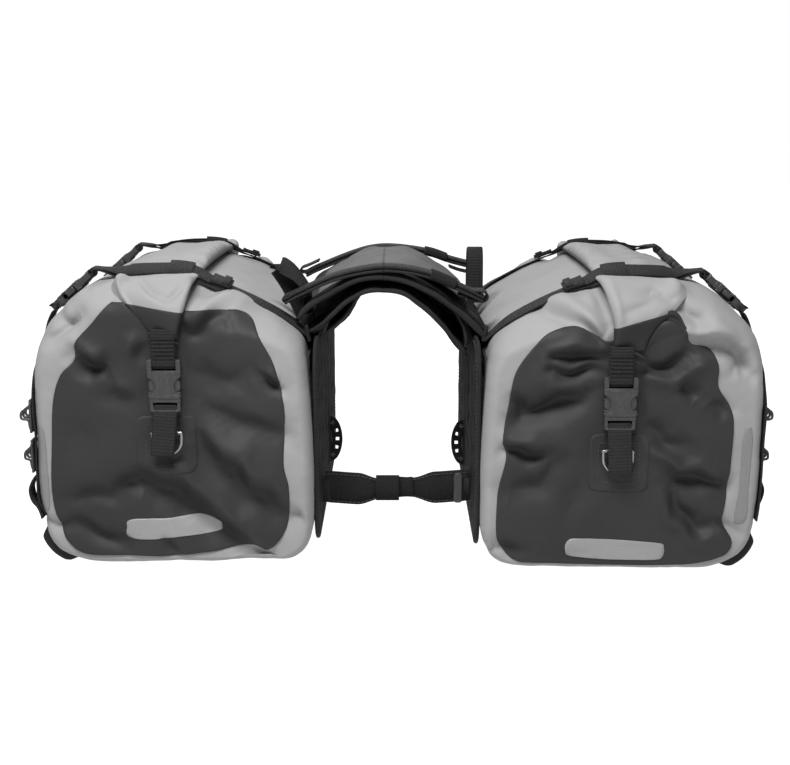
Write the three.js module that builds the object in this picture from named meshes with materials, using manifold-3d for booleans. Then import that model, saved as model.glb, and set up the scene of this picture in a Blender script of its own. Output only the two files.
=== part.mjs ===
// A pair of roll-top motorcycle saddlebags joined by a padded yoke.
// Millimetres. X runs across the motorcycle, -Y is the front, +Z is up, and Z = 0 is the floor.
// The bags stand upright, their buckles closed, with the yoke arched between them.

import * as THREE from 'three';
import { mergeVertices } from 'three/addons/utils/BufferGeometryUtils.js';
import Module from 'manifold-3d';

const wasm = await Module();
wasm.setup();

// ---- Driving dimensions -------------------------------------------------------------------------

const GAP = 0.3;                 // clearance between touching pieces

const BAG_INNER = 90;            // distance from the centre plane to the bag's inner wall
const BAG_OUTER = 385;           // distance from the centre plane to the bag's outer wall
const BAG_HALF_LENGTH = 210;
const BAG_TOP = 302;             // height of the mouth under the roll
const INNER_CORNER = 32;         // radius along the inner bottom edge
const OUTER_CORNER = 50;         // radius along the outer bottom edge
const WALL = 2.4;                // stands in for the coated fabric and its lining
const SECTION_CENTRE = [237, 155];
const STAGGER = { left: 9, right: -9 };   // the right-hand bag hangs a little ahead of the left one

const MOUTH = { centre: 243, width: 44, halfLength: 182 };

const END_PANEL = { thickness: 2 };
const INNER_PANEL = { thickness: 5, halfLength: 192, bottom: 12, top: 240, corner: 34 };
const BOARD = { thickness: 3, halfLength: 172, bottom: 34, top: 224, inset: 4.5 };

const ROLL = { centre: 246, halfWidth: 37, halfLength: 204 };
const EAR = { thickness: 13, bottom: { left: 258, right: 243 }, shift: { left: 1, right: -8 } };

const BUCKLE_ACROSS = { left: 243, right: 232 };    // distance of the end buckles from the centre plane
const BUCKLE_HEIGHT = { left: 188, right: 173 };    // height of the end buckles' mouths
const WEBBING = { width: 25, thickness: 1.8 };
const D_RING = { width: 34, height: 27, wire: 4, drop: 37 };   // drop: from the buckle's mouth to the bar

const STRAP_STATION = 125;       // compression straps' and yoke straps' distance from the middle
const STRAP_LIFT = 0.8;          // clearance between the bag and the straps that cross it
const SLOPE_TOP = [330, 304.5];  // upper end of the compression buckle's seat on the outer slope
const SLOPE_ANGLE = 0.73;        // slope of the compression buckle below the horizontal, radians

const YOKE = { halfLength: 138, flank: 79.5, foot: 226, seat: 285, crown: 303, coverThickness: 1.8 };
const YOKE_STRAP = { width: 38, thickness: 2.4 };

const SPREADER = { thickness: 2.4, overlap: 20, height: 40, waist: 25, centreHeight: 62 };
const SPREADER_STATION = { left: -120, right: -115 };   // side by side, so the halves pass each other
const LADDER = { width: 12, thickness: 3, station: 30, standOff: 15, bottom: 48, top: 104 };

// ---- Materials ----------------------------------------------------------------------------------

const material = (color, roughness, metalness = 0) =>
  new THREE.MeshStandardMaterial({ color, roughness, metalness });

const MATERIALS = {
  shell: material(0xa9a9a9, 0.6),
  tarpaulin: material(0x3e3e3e, 0.5),
  textile: material(0x1a1a1a, 0.95),
  board: material(0x202020, 0.6),
  webbing: material(0x262626, 0.9),
  plastic: material(0x2c2c2c, 0.45),
  steel: material(0xb8b8b8, 0.3, 1),
  pad: material(0x303030, 0.9),
  cover: material(0x6e6e6e, 0.6),
  hookAndLoop: material(0x1c1c1c, 1),
  rubber: material(0x1e1e1e, 0.7),
};

// ---- Shape helpers ------------------------------------------------------------------------------

function toSolid(geometry) {
  const bare = geometry.clone();
  bare.deleteAttribute('normal');
  bare.deleteAttribute('uv');
  const merged = mergeVertices(bare, 1e-3);
  return new wasm.Manifold(new wasm.Mesh({
    numProp: 3,
    vertProperties: Float32Array.from(merged.attributes.position.array),
    triVerts: Uint32Array.from(merged.index.array),
  }));
}

function toGeometry(solid) {
  const mesh = solid.getMesh();
  const geometry = new THREE.BufferGeometry();
  geometry.setAttribute('position', new THREE.BufferAttribute(Float32Array.from(mesh.vertProperties), 3));
  geometry.setIndex(new THREE.BufferAttribute(Uint32Array.from(mesh.triVerts), 1));
  return geometry;
}

const join = (first, ...others) =>
  toGeometry(others.reduce((solid, other) => solid.add(toSolid(other)), toSolid(first)));

const cut = (first, ...others) =>
  toGeometry(others.reduce((solid, other) => solid.subtract(toSolid(other)), toSolid(first)));

// A box given by its limits along each axis.
function box([x0, x1], [y0, y1], [z0, z1]) {
  const geometry = new THREE.BoxGeometry(x1 - x0, y1 - y0, z1 - z0);
  return geometry.translate((x0 + x1) / 2, (y0 + y1) / 2, (z0 + z1) / 2);
}

function outline(points) {
  return new THREE.Shape(points.map(([a, b]) => new THREE.Vector2(a, b)));
}

// An outline drawn in the XZ plane, extruded along Y between two stations.
function extrudeAlongY(shape, [y0, y1], curveSegments = 6) {
  const geometry = new THREE.ExtrudeGeometry(shape, { depth: y1 - y0, bevelEnabled: false, curveSegments });
  return geometry.rotateX(Math.PI / 2).translate(0, y1, 0);
}

// An outline drawn in the YZ plane, extruded along X between two stations.
function extrudeAlongX(shape, [x0, x1], curveSegments = 6) {
  const geometry = new THREE.ExtrudeGeometry(shape, { depth: x1 - x0, bevelEnabled: false, curveSegments });
  const turn = new THREE.Matrix4().makeBasis(
    new THREE.Vector3(0, 1, 0), new THREE.Vector3(0, 0, 1), new THREE.Vector3(1, 0, 0));
  return geometry.applyMatrix4(turn).translate(x0, 0, 0);
}

// A strip of even thickness that follows a smooth line through the points.
function stripShape(points, thickness, steps) {
  const line = new THREE.SplineCurve(points.map(([a, b]) => new THREE.Vector2(a, b)));
  const near = [];
  const far = [];
  for (let i = 0; i <= steps; i += 1) {
    const point = line.getPointAt(i / steps);
    const tangent = line.getTangentAt(i / steps);
    near.push([point.x, point.y]);
    far.push([point.x - tangent.y * thickness, point.y + tangent.x * thickness]);
  }
  return outline([...near, ...far.reverse()]);
}

// A closed body through rings of points that all have the same count. Each ring is [[x, y, z], ...].
function loft(rings) {
  const count = rings[0].length;
  const positions = rings.flat(2);
  const index = [];
  const addCap = (ringNumber, flipped) => {
    const ring = rings[ringNumber];
    const middle = [0, 1, 2].map((axis) => ring.reduce((sum, point) => sum + point[axis], 0) / count);
    const hub = positions.length / 3;
    positions.push(...middle);
    for (let i = 0; i < count; i += 1) {
      const a = ringNumber * count + i;
      const b = ringNumber * count + (i + 1) % count;
      index.push(hub, flipped ? b : a, flipped ? a : b);
    }
  };
  for (let r = 0; r + 1 < rings.length; r += 1) {
    for (let i = 0; i < count; i += 1) {
      const a = r * count + i;
      const b = r * count + (i + 1) % count;
      index.push(a, a + count, b, b, a + count, b + count);
    }
  }
  addCap(0, false);
  addCap(rings.length - 1, true);
  const geometry = new THREE.BufferGeometry();
  geometry.setAttribute('position', new THREE.Float32BufferAttribute(positions, 3));
  geometry.setIndex(index);
  return geometry;
}

function rounded([a0, a1], [b0, b1], radius) {
  const shape = new THREE.Shape();
  shape.moveTo(a0 + radius, b0);
  shape.lineTo(a1 - radius, b0);
  shape.absarc(a1 - radius, b0 + radius, radius, -Math.PI / 2, 0);
  shape.lineTo(a1, b1 - radius);
  shape.absarc(a1 - radius, b1 - radius, radius, 0, Math.PI / 2);
  shape.lineTo(a0 + radius, b1);
  shape.absarc(a0 + radius, b1 - radius, radius, Math.PI / 2, Math.PI);
  shape.lineTo(a0, b0 + radius);
  shape.absarc(a0 + radius, b0 + radius, radius, Math.PI, Math.PI * 1.5);
  return shape;
}

// ---- Bag body -----------------------------------------------------------------------------------
// Everything of a bag is drawn for the right-hand bag and mirrored for the left one.

// Cross-section of the bag, seen from the front: flat bottom, upright sides, sloping shoulders.
function bagSection() {
  const shape = new THREE.Shape();
  shape.moveTo(BAG_INNER + INNER_CORNER, 0);
  shape.lineTo(BAG_OUTER - OUTER_CORNER, 0);
  shape.absarc(BAG_OUTER - OUTER_CORNER, OUTER_CORNER, OUTER_CORNER, -Math.PI / 2, 0);
  shape.lineTo(BAG_OUTER, 212);
  const shoulders = [
    [383, 240], [370, 266], [347, 288], [315, BAG_TOP - 1], [270, BAG_TOP + 1], [225, BAG_TOP],
    [190, 292], [155, 276], [122, 258], [98, 242],
  ];
  shape.splineThru(shoulders.map(([u, z]) => new THREE.Vector2(u, z)));
  shape.lineTo(BAG_INNER, 224);
  shape.lineTo(BAG_INNER, INNER_CORNER);
  shape.absarc(BAG_INNER + INNER_CORNER, INNER_CORNER, INNER_CORNER, Math.PI, Math.PI * 1.5);
  const points = shape.getPoints(2);
  points.pop();
  return points.map((point) => [point.x, point.y]);
}

// The section drawn in towards its centre by an inset, at a station along Y.
function sectionRing(section, station, inset) {
  const [centreU, centreZ] = SECTION_CENTRE;
  const scale = 1 - inset / centreZ;
  return section.map(([u, z]) => [
    centreU + (u - centreU) * scale,
    station,
    centreZ + (z - centreZ) * scale,
  ]);
}

function bagSolid(shrink) {
  const section = bagSection();
  const edge = [[BAG_HALF_LENGTH, 6], [BAG_HALF_LENGTH - 4, 2.5], [BAG_HALF_LENGTH - 12, 0]];
  const stations = [...edge.map(([y, inset]) => [-y, inset]), ...edge.reverse()];
  const towardsMiddle = (y) => Math.sign(y) * (Math.abs(y) - shrink);
  return loft(stations.map(([y, inset]) => sectionRing(section, towardsMiddle(y), inset + shrink)));
}

function shell() {
  const mouth = box(
    [MOUTH.centre - MOUTH.width / 2, MOUTH.centre + MOUTH.width / 2],
    [-MOUTH.halfLength, MOUTH.halfLength],
    [BAG_TOP - 30, BAG_TOP + 20]);
  return cut(bagSolid(0), bagSolid(WALL), mouth);
}

// The dark panel's wavy outline on the end of the bag.
function endPanel() {
  const shape = new THREE.Shape();
  shape.moveTo(140, 12);
  shape.lineTo(310, 12);
  shape.splineThru([[338, 22], [354, 48], [360, 115], [358, 180], [347, 226], [325, 258], [298, 278]]
    .map(([u, z]) => new THREE.Vector2(u, z)));
  shape.lineTo(240, 283);
  shape.splineThru([[190, 274], [152, 255], [128, 224], [117, 170], [113, 100], [113, 52], [121, 23]]
    .map(([u, z]) => new THREE.Vector2(u, z)));
  const outerFace = BAG_HALF_LENGTH + GAP;
  return extrudeAlongY(shape, [-outerFace - END_PANEL.thickness, -outerFace], 1);
}

function innerPanel() {
  const face = BAG_INNER - GAP;
  const { halfLength, bottom, top, corner, thickness } = INNER_PANEL;
  const shape = rounded([-halfLength, halfLength], [bottom, top], corner);
  return extrudeAlongX(shape, [face - thickness, face], 4);
}

function stiffenerBoard() {
  const inner = BAG_INNER + BOARD.inset;
  const outer = inner + BOARD.thickness;
  return box([inner, outer], [-BOARD.halfLength, BOARD.halfLength], [BOARD.bottom, BOARD.top]);
}

// ---- Roll closure -------------------------------------------------------------------------------

// The roll swells between the compression straps and is pressed flat under them.
function rollHeight(station) {
  const fromStrap = Math.abs(Math.abs(station) - STRAP_STATION);
  const swell = Math.abs(station) < STRAP_STATION ? 18 : 12;
  return 8.5 + swell * THREE.MathUtils.smoothstep(fromStrap, 14, 60);
}

function rollClosure(side) {
  const earBottom = EAR.bottom[side];
  const base = BAG_TOP + 1.5 + GAP;
  const stations = [];
  for (let y = 0; y < ROLL.halfLength; y += 20.4) {
    stations.push(y);
  }
  stations.push(ROLL.halfLength);
  const all = [...stations.slice(1).reverse().map((y) => -y), ...stations];
  const sides = 12;
  const rings = all.map((station) => {
    const half = rollHeight(station) / 2;
    return Array.from({ length: sides }, (_, i) => {
      const angle = (i + 0.5) / sides * Math.PI * 2;
      return [
        ROLL.centre + Math.cos(angle) * ROLL.halfWidth,
        station,
        base + half + Math.sin(angle) * half,
      ];
    });
  });
  const earShape = outline([
    [217, 280], [227, earBottom + 6], [231, earBottom], [253, earBottom], [257, earBottom + 6],
    [272, 284], [284, 310], [276, 321], [226, 321], [214, 310],
  ].map(([u, z]) => [u + EAR.shift[side], z]));
  const nearFace = BAG_HALF_LENGTH + END_PANEL.thickness + 3 * GAP;
  const atEnd = (facing) => {
    const span = (near, far) => [facing * near, facing * far].sort((a, b) => a - b);
    const ear = extrudeAlongY(earShape, span(nearFace, nearFace + EAR.thickness));
    const bridge = box([228, 268], span(ROLL.halfLength - 8, nearFace + 4), [base + 4, base + 14]);
    return [ear, bridge];
  };
  return join(loft(rings), ...atEnd(-1), ...atEnd(1));
}

// ---- Side-release buckle ------------------------------------------------------------------------
// Drawn upright with its mouth at the origin: X across, -Y out of the bag, +Z from clip to socket.

const SOCKET = { height: 40, halfDepth: 5, pocketWidth: 14, pocketDepth: 3.4, pocketHeight: 23.5 };
const SOCKET_BAR = [34, 38.5];
const CLIP_BAR = [-14, -10];
const CLIP_HALF_DEPTH = 4.2;
const BAR_HALF_DEPTH = 2.2;
const SLOT_HALF_WIDTH = 13.2;

const bothSides = (points) => [...points, ...points.slice().reverse().map(([x, z]) => [-x, z])];

function socket() {
  const body = extrudeAlongY(outline(bothSides([
    [15.6, 0.4], [16.6, 2], [16.4, 6], [13, 9], [12, 14],
    [13, 19.5], [16.6, 24], [17, 36], [14.5, SOCKET.height],
  ])), [-SOCKET.halfDepth, SOCKET.halfDepth]);
  const { pocketWidth, pocketDepth, pocketHeight } = SOCKET;
  const pocket = box([-pocketWidth, pocketWidth], [-pocketDepth, pocketDepth], [-1, pocketHeight]);
  const slot = box([-SLOT_HALF_WIDTH, SLOT_HALF_WIDTH], [-9, 9], [SOCKET_BAR[0] - 5, SOCKET_BAR[0]]);
  const recess = (side) => box(
    [-SLOT_HALF_WIDTH, SLOT_HALF_WIDTH],
    side < 0 ? [-9, -BAR_HALF_DEPTH] : [BAR_HALF_DEPTH, 9],
    [SOCKET_BAR[0] - 5, SOCKET.height + 2]);
  const topTrim = box([-SLOT_HALF_WIDTH, SLOT_HALF_WIDTH], [-9, 9], [SOCKET_BAR[1], SOCKET.height + 2]);
  return cut(body, pocket, slot, recess(-1), recess(1), topTrim);
}

function clip() {
  const frameOutline = outline(bothSides([[13.5, CLIP_BAR[0]], [15, -12], [15.4, -2], [14.6, 0]]));
  const frame = extrudeAlongY(frameOutline, [-CLIP_HALF_DEPTH, CLIP_HALF_DEPTH]);
  const guide = box([-2.2, 2.2], [-2.6, 2.6], [-1, 20]);
  const slot = box([-SLOT_HALF_WIDTH, SLOT_HALF_WIDTH], [-9, 9], [CLIP_BAR[1], CLIP_BAR[1] + 5]);
  const recess = (side) => box(
    [-SLOT_HALF_WIDTH, SLOT_HALF_WIDTH],
    side < 0 ? [-9, -BAR_HALF_DEPTH] : [BAR_HALF_DEPTH, 9],
    [CLIP_BAR[0] - 2, CLIP_BAR[1] + 5]);
  return cut(join(frame, guide), slot, recess(-1), recess(1));
}

const PRONG_OUTLINE = [
  [7.5, GAP], [10.8, GAP], [11.4, 6], [13.6, 9], [13.6, 18], [11, 21.8], [8.2, 21.8], [7.5, 6],
];

function prong(side) {
  const points = PRONG_OUTLINE.map(([x, z]) => [x * side, z]);
  return extrudeAlongY(outline(side > 0 ? points : points.reverse()), [-2.8, 2.8]);
}

// A clip whose prongs are moulded in one with it.
const clipWithProngs = () => {
  const rooted = (side) => join(
    prong(side),
    box(side > 0 ? [7.8, 10.5] : [-10.5, -7.8], [-2.8, 2.8], [-1, 1]));
  return join(clip(), rooted(-1), rooted(1));
};

// Webbing that wraps a bar: a loop seen from the side, with the bar's hole in it. The strap's two
// layers leave the loop on the far side of the bar and run to the strap's end.
function loopedStrap(barSpan, end, further) {
  const clear = BAR_HALF_DEPTH + GAP;
  const half = clear + WEBBING.thickness;
  const upwards = end > barSpan[1];
  const nearEnd = upwards ? barSpan[0] - GAP - WEBBING.thickness : barSpan[1] + GAP + WEBBING.thickness;
  const [low, high] = upwards ? [nearEnd, end] : [end, nearEnd];
  const shape = outline([[-half, low], [half, low], [half, high], [-half, high]]);
  const addHole = ([bottom, top]) => shape.holes.push(new THREE.Path(
    [[-clear, bottom - GAP], [-clear, top + GAP], [clear, top + GAP], [clear, bottom - GAP]]
      .map(([y, z]) => new THREE.Vector2(y, z))));
  addHole(barSpan);
  if (further) {
    addHole(further);
  }
  return extrudeAlongX(shape, [-WEBBING.width / 2, WEBBING.width / 2]);
}

// ---- End buckles, straps and D-rings ------------------------------------------------------------

const RING_BAR = [-D_RING.drop - D_RING.wire, -D_RING.drop];

// Drawn in the buckle's frame, below the clip.
function dRing() {
  const half = D_RING.width / 2;
  const top = RING_BAR[1];
  const shape = new THREE.Shape();
  const bow = D_RING.height - half;
  shape.moveTo(-half, top);
  shape.lineTo(-half, top - bow);
  shape.absarc(0, top - bow, half, Math.PI, Math.PI * 2);
  shape.lineTo(half, top);
  const hole = new THREE.Path();
  const inner = half - D_RING.wire;
  hole.moveTo(-inner, top - D_RING.wire);
  hole.lineTo(inner, top - D_RING.wire);
  hole.lineTo(inner, top - bow);
  hole.absarc(0, top - bow, inner, 0, -Math.PI, true);
  shape.holes.push(hole);
  return extrudeAlongY(shape, [-D_RING.wire / 2, D_RING.wire / 2], 5);
}

const anchorStrap = () => loopedStrap(CLIP_BAR, RING_BAR[0] - GAP - WEBBING.thickness, RING_BAR);

const rollStrap = (side) => loopedStrap(SOCKET_BAR, EAR.bottom[side] - BUCKLE_HEIGHT[side] - GAP);

// ---- Compression straps -------------------------------------------------------------------------

// From the bag's inner wall over the roll to the clip on the outer slope.
function compressionStrap() {
  const roll = BAG_TOP + 1.5 + GAP + rollHeight(STRAP_STATION);
  const line = [
    [SLOPE_TOP[0] - 2, SLOPE_TOP[1] + 4.6], [308, roll], [280, roll + STRAP_LIFT + 0.6],
    [246, roll + STRAP_LIFT + 0.6], [212, roll + STRAP_LIFT + 0.2],
    [186, 301], [154, 284], [121, 264.5], [96, 248],
  ];
  const shape = stripShape(line.reverse(), WEBBING.thickness, 22);
  return extrudeAlongY(shape, [-STRAP_STATION - WEBBING.width / 2, -STRAP_STATION + WEBBING.width / 2]);
}

// Places a buckle's piece on the outer slope: its +Z points down the slope and its front faces out.
function onSlope(geometry) {
  const down = new THREE.Vector3(Math.cos(SLOPE_ANGLE), 0, -Math.sin(SLOPE_ANGLE));
  const outward = new THREE.Vector3(Math.sin(SLOPE_ANGLE), 0, Math.cos(SLOPE_ANGLE));
  const back = outward.clone().negate();
  const across = new THREE.Vector3().crossVectors(back, down);
  const seat = new THREE.Vector3(SLOPE_TOP[0], -STRAP_STATION, SLOPE_TOP[1])
    .addScaledVector(down, 18)
    .addScaledVector(outward, 6);
  return geometry.applyMatrix4(new THREE.Matrix4().makeBasis(across, back, down).setPosition(seat));
}

// ---- Between the bags ---------------------------------------------------------------------------

function ladderStrap() {
  const { width, thickness, station, standOff, bottom, top } = LADDER;
  const face = BAG_INNER - GAP - INNER_PANEL.thickness - GAP;
  const middle = (bottom + top) / 2;
  const bow = new THREE.Shape();
  bow.moveTo(face, top);
  bow.quadraticCurveTo(face - 2 * standOff, middle, face, bottom);
  bow.lineTo(face, bottom + width);
  bow.quadraticCurveTo(face - 2 * standOff + 1.6 * width, middle, face, top - width);
  return extrudeAlongY(bow, [station - thickness / 2, station + thickness / 2], 6);
}

// Half of the lower strap, drawn for the right-hand side: a band that narrows to the middle.
function spreaderHalf(station) {
  const { overlap, height, waist, centreHeight, thickness } = SPREADER;
  const face = BAG_INNER - GAP - INNER_PANEL.thickness - GAP;
  const shape = new THREE.Shape();
  shape.moveTo(-overlap, centreHeight - waist / 2);
  shape.lineTo(overlap, centreHeight - waist / 2);
  shape.quadraticCurveTo(face / 2, centreHeight - height / 2, face, centreHeight - height / 2);
  shape.lineTo(face, centreHeight + height / 2);
  shape.quadraticCurveTo(face / 2, centreHeight + height / 2, overlap, centreHeight + waist / 2);
  shape.lineTo(-overlap, centreHeight + waist / 2);
  return extrudeAlongY(shape, [station - thickness / 2, station + thickness / 2], 4);
}

// The pad arches over the seat, and its flanks hang beside the inner panels. Its crown is flat.
const PAD_TOP = [[YOKE.flank, YOKE.foot], [YOKE.flank, 252], [74, 274], [58, 292], [32, YOKE.crown]];
const PAD_UNDER = [[65, YOKE.foot], [60, 256], [46, 274], [24, YOKE.seat]];

const mirroredLine = (line) => [...line, ...line.slice(0, -1).reverse().map(([x, z]) => [-x, z])];

function yokePad() {
  const shape = outline([...bothSides(PAD_TOP), ...bothSides(PAD_UNDER).reverse()]);
  return extrudeAlongY(shape, [-YOKE.halfLength, YOKE.halfLength]);
}

function yokeCover() {
  const line = mirroredLine([[76, 276], [59.5, 294.5], [33, YOKE.crown + 1.6], [0, YOKE.crown + 1.6]]);
  const half = STRAP_STATION - YOKE_STRAP.width / 2 - 1;
  return extrudeAlongY(stripShape(line, -YOKE.coverThickness, 14), [-half, half]);
}

function yokeStrap() {
  const line = mirroredLine([[76.5, 276], [59.5, 295], [33, YOKE.crown + 2.4], [0, YOKE.crown + 2.6]]);
  const half = YOKE_STRAP.width / 2;
  const shape = stripShape(line, -YOKE_STRAP.thickness, 14);
  return extrudeAlongY(shape, [-STRAP_STATION - half, -STRAP_STATION + half]);
}

// ---- Assembly -----------------------------------------------------------------------------------

function mesh(name, geometry, finish) {
  const piece = new THREE.Mesh(geometry, finish);
  piece.name = name;
  return piece;
}

// The pieces that a bag has at each end, drawn for the front end of the right-hand bag.
function bagEnd(side, end) {
  const named = (name, geometry, finish) => mesh(`${side}_${name}_${end}`, geometry, MATERIALS[finish]);
  const buckle = new THREE.Group();
  buckle.position.set(BUCKLE_ACROSS[side], -BAG_HALF_LENGTH - END_PANEL.thickness - 7, BUCKLE_HEIGHT[side]);
  buckle.add(
    named('buckle_socket', socket(), 'plastic'),
    named('buckle_clip', clip(), 'plastic'),
    named('prong_inner', prong(-1), 'plastic'),
    named('prong_outer', prong(1), 'plastic'),
    named('roll_strap', rollStrap(side), 'webbing'),
    named('anchor_strap', anchorStrap(), 'webbing'),
    named('d_ring', dRing(), 'steel'));
  const group = new THREE.Group();
  group.add(
    buckle,
    named('end_panel', endPanel(), 'tarpaulin'),
    named('compression_strap', compressionStrap(), 'webbing'),
    named('compression_clip', onSlope(clipWithProngs()), 'plastic'),
    named('compression_socket', onSlope(socket()), 'plastic'));
  group.scale.y = end === 'rear' ? -1 : 1;
  return group;
}

function bag(side) {
  const named = (name, geometry, finish) => mesh(`${side}_${name}`, geometry, MATERIALS[finish]);
  const group = new THREE.Group();
  group.add(
    named('shell', shell(), 'shell'),
    named('inner_panel', innerPanel(), 'textile'),
    named('stiffener_board', stiffenerBoard(), 'board'),
    named('roll_closure', rollClosure(side), 'shell'),
    named('ladder_strap', ladderStrap(), 'rubber'),
    named('spreader_strap', spreaderHalf(SPREADER_STATION[side] - STAGGER[side]), 'hookAndLoop'),
    bagEnd(side, 'front'),
    bagEnd(side, 'rear'));
  group.scale.x = side === 'left' ? -1 : 1;
  group.position.y = STAGGER[side];
  return group;
}

function yoke() {
  const group = new THREE.Group();
  const rearStrap = mesh('yoke_strap_rear', yokeStrap(), MATERIALS.webbing);
  rearStrap.position.y = 2 * STRAP_STATION;
  group.add(
    mesh('yoke_pad', yokePad(), MATERIALS.pad),
    mesh('yoke_cover', yokeCover(), MATERIALS.cover),
    mesh('yoke_strap_front', yokeStrap(), MATERIALS.webbing),
    rearStrap);
  return group;
}

const saddlebags = new THREE.Group();
saddlebags.add(yoke(), bag('left'), bag('right'));

export default saddlebags;
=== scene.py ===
"""Looks of a pair of roll-top motorcycle saddlebags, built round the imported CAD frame.

Metres. X runs across the motorcycle, -Y is the front and +Z is up. A bag is described in its own
terms: u is the distance from the centre plane, y the distance from the bag's middle, z the height.
"""

import math

import bpy
import numpy as np
from mathutils import Matrix, Vector


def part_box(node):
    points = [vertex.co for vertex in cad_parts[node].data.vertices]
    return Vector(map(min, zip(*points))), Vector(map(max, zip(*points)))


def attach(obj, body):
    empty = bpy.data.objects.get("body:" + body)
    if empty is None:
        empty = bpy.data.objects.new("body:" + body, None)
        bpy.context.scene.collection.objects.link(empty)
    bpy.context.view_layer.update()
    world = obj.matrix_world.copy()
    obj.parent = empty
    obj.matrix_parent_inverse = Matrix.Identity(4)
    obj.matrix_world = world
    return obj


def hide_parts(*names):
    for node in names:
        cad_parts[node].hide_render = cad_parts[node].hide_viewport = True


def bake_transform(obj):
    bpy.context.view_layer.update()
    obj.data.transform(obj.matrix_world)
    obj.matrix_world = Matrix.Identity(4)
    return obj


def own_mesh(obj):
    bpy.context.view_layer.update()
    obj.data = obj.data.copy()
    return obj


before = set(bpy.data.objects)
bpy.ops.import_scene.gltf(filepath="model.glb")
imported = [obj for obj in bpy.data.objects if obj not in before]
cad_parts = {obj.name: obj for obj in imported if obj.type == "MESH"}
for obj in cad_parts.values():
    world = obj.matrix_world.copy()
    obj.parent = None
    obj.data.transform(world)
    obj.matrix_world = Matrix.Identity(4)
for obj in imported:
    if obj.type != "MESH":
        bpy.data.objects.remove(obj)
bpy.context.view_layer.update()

SIDES = ("left", "right")
ENDS = ("front", "rear")
SIGN = {"left": -1.0, "right": 1.0}
FACING = {"front": -1.0, "rear": 1.0}
MM = 0.001
WEB_WIDTH = 0.025
WEB_THICKNESS = 0.0018

# ---- Camera, light and floor ------------------------------------------------------------------------

CAMERA_PLACE = (0.0, -1.465, 0.482)
CAMERA_PITCH = math.radians(12.5)
CAMERA_FIELD = 2 * math.atan(790 / 2 / 1226)
WORLD_LEVELS = ((0.10, 1.0), (0.30, 0.08))     # white round the horizon, dimmer overhead
FLOOR_GLOW = 1.02


def look_at(obj, target):
    direction = Vector(target) - obj.location
    obj.rotation_euler = direction.to_track_quat("-Z", "Y").to_euler()


def add_camera():
    data = bpy.data.cameras.new("camera")
    data.sensor_width = 36
    data.angle = CAMERA_FIELD
    data.shift_x = -0.0019
    camera = bpy.data.objects.new("camera", data)
    camera.location = CAMERA_PLACE
    camera.rotation_euler = (math.pi / 2 - CAMERA_PITCH, 0, 0)
    bpy.context.collection.objects.link(camera)
    bpy.context.scene.camera = camera


def add_area_light(name, place, target, size, power):
    data = bpy.data.lights.new(name, "AREA")
    data.shape = "RECTANGLE"
    data.size, data.size_y = size
    data.energy = power
    light = bpy.data.objects.new(name, data)
    light.location = place
    bpy.context.collection.objects.link(light)
    look_at(light, target)


def add_studio():
    world = bpy.data.worlds.new("studio")
    world.use_nodes = True
    tree = world.node_tree
    direction = tree.nodes.new("ShaderNodeTexCoord").outputs["Generated"]
    height = tree.nodes.new("ShaderNodeSeparateXYZ")
    tree.links.new(direction, height.inputs[0])
    ramp = tree.nodes.new("ShaderNodeValToRGB")
    tree.links.new(height.outputs["Z"], ramp.inputs["Fac"])
    for element, (place, level) in zip(ramp.color_ramp.elements, WORLD_LEVELS):
        element.position = place
        element.color = (*grey(level), 1)
    tree.links.new(ramp.outputs["Color"], tree.nodes["Background"].inputs["Color"])
    bpy.context.scene.world = world
    add_area_light("key", (-0.25, -0.98, 1.70), (0, -0.12, 0.12), (0.9, 0.5), 60)
    add_area_light("rim", (-0.3, 1.3, 1.3), (0, 0, 0.2), (1.6, 0.5), 12)
    bpy.ops.mesh.primitive_plane_add(size=14, location=(0, 0, -0.001))
    floor = bpy.context.object
    floor.name = "floor"
    white = plain_material("floor_white", grey(0.25), 0.95)
    lit = white.node_tree.nodes["Principled BSDF"]
    lit.inputs["Emission Color"].default_value = (1, 1, 1, 1)
    lit.inputs["Emission Strength"].default_value = FLOOR_GLOW
    floor.data.materials.append(white)
    bpy.context.scene.view_settings.view_transform = "Standard"


# ---- Materials --------------------------------------------------------------------------------------

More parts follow.
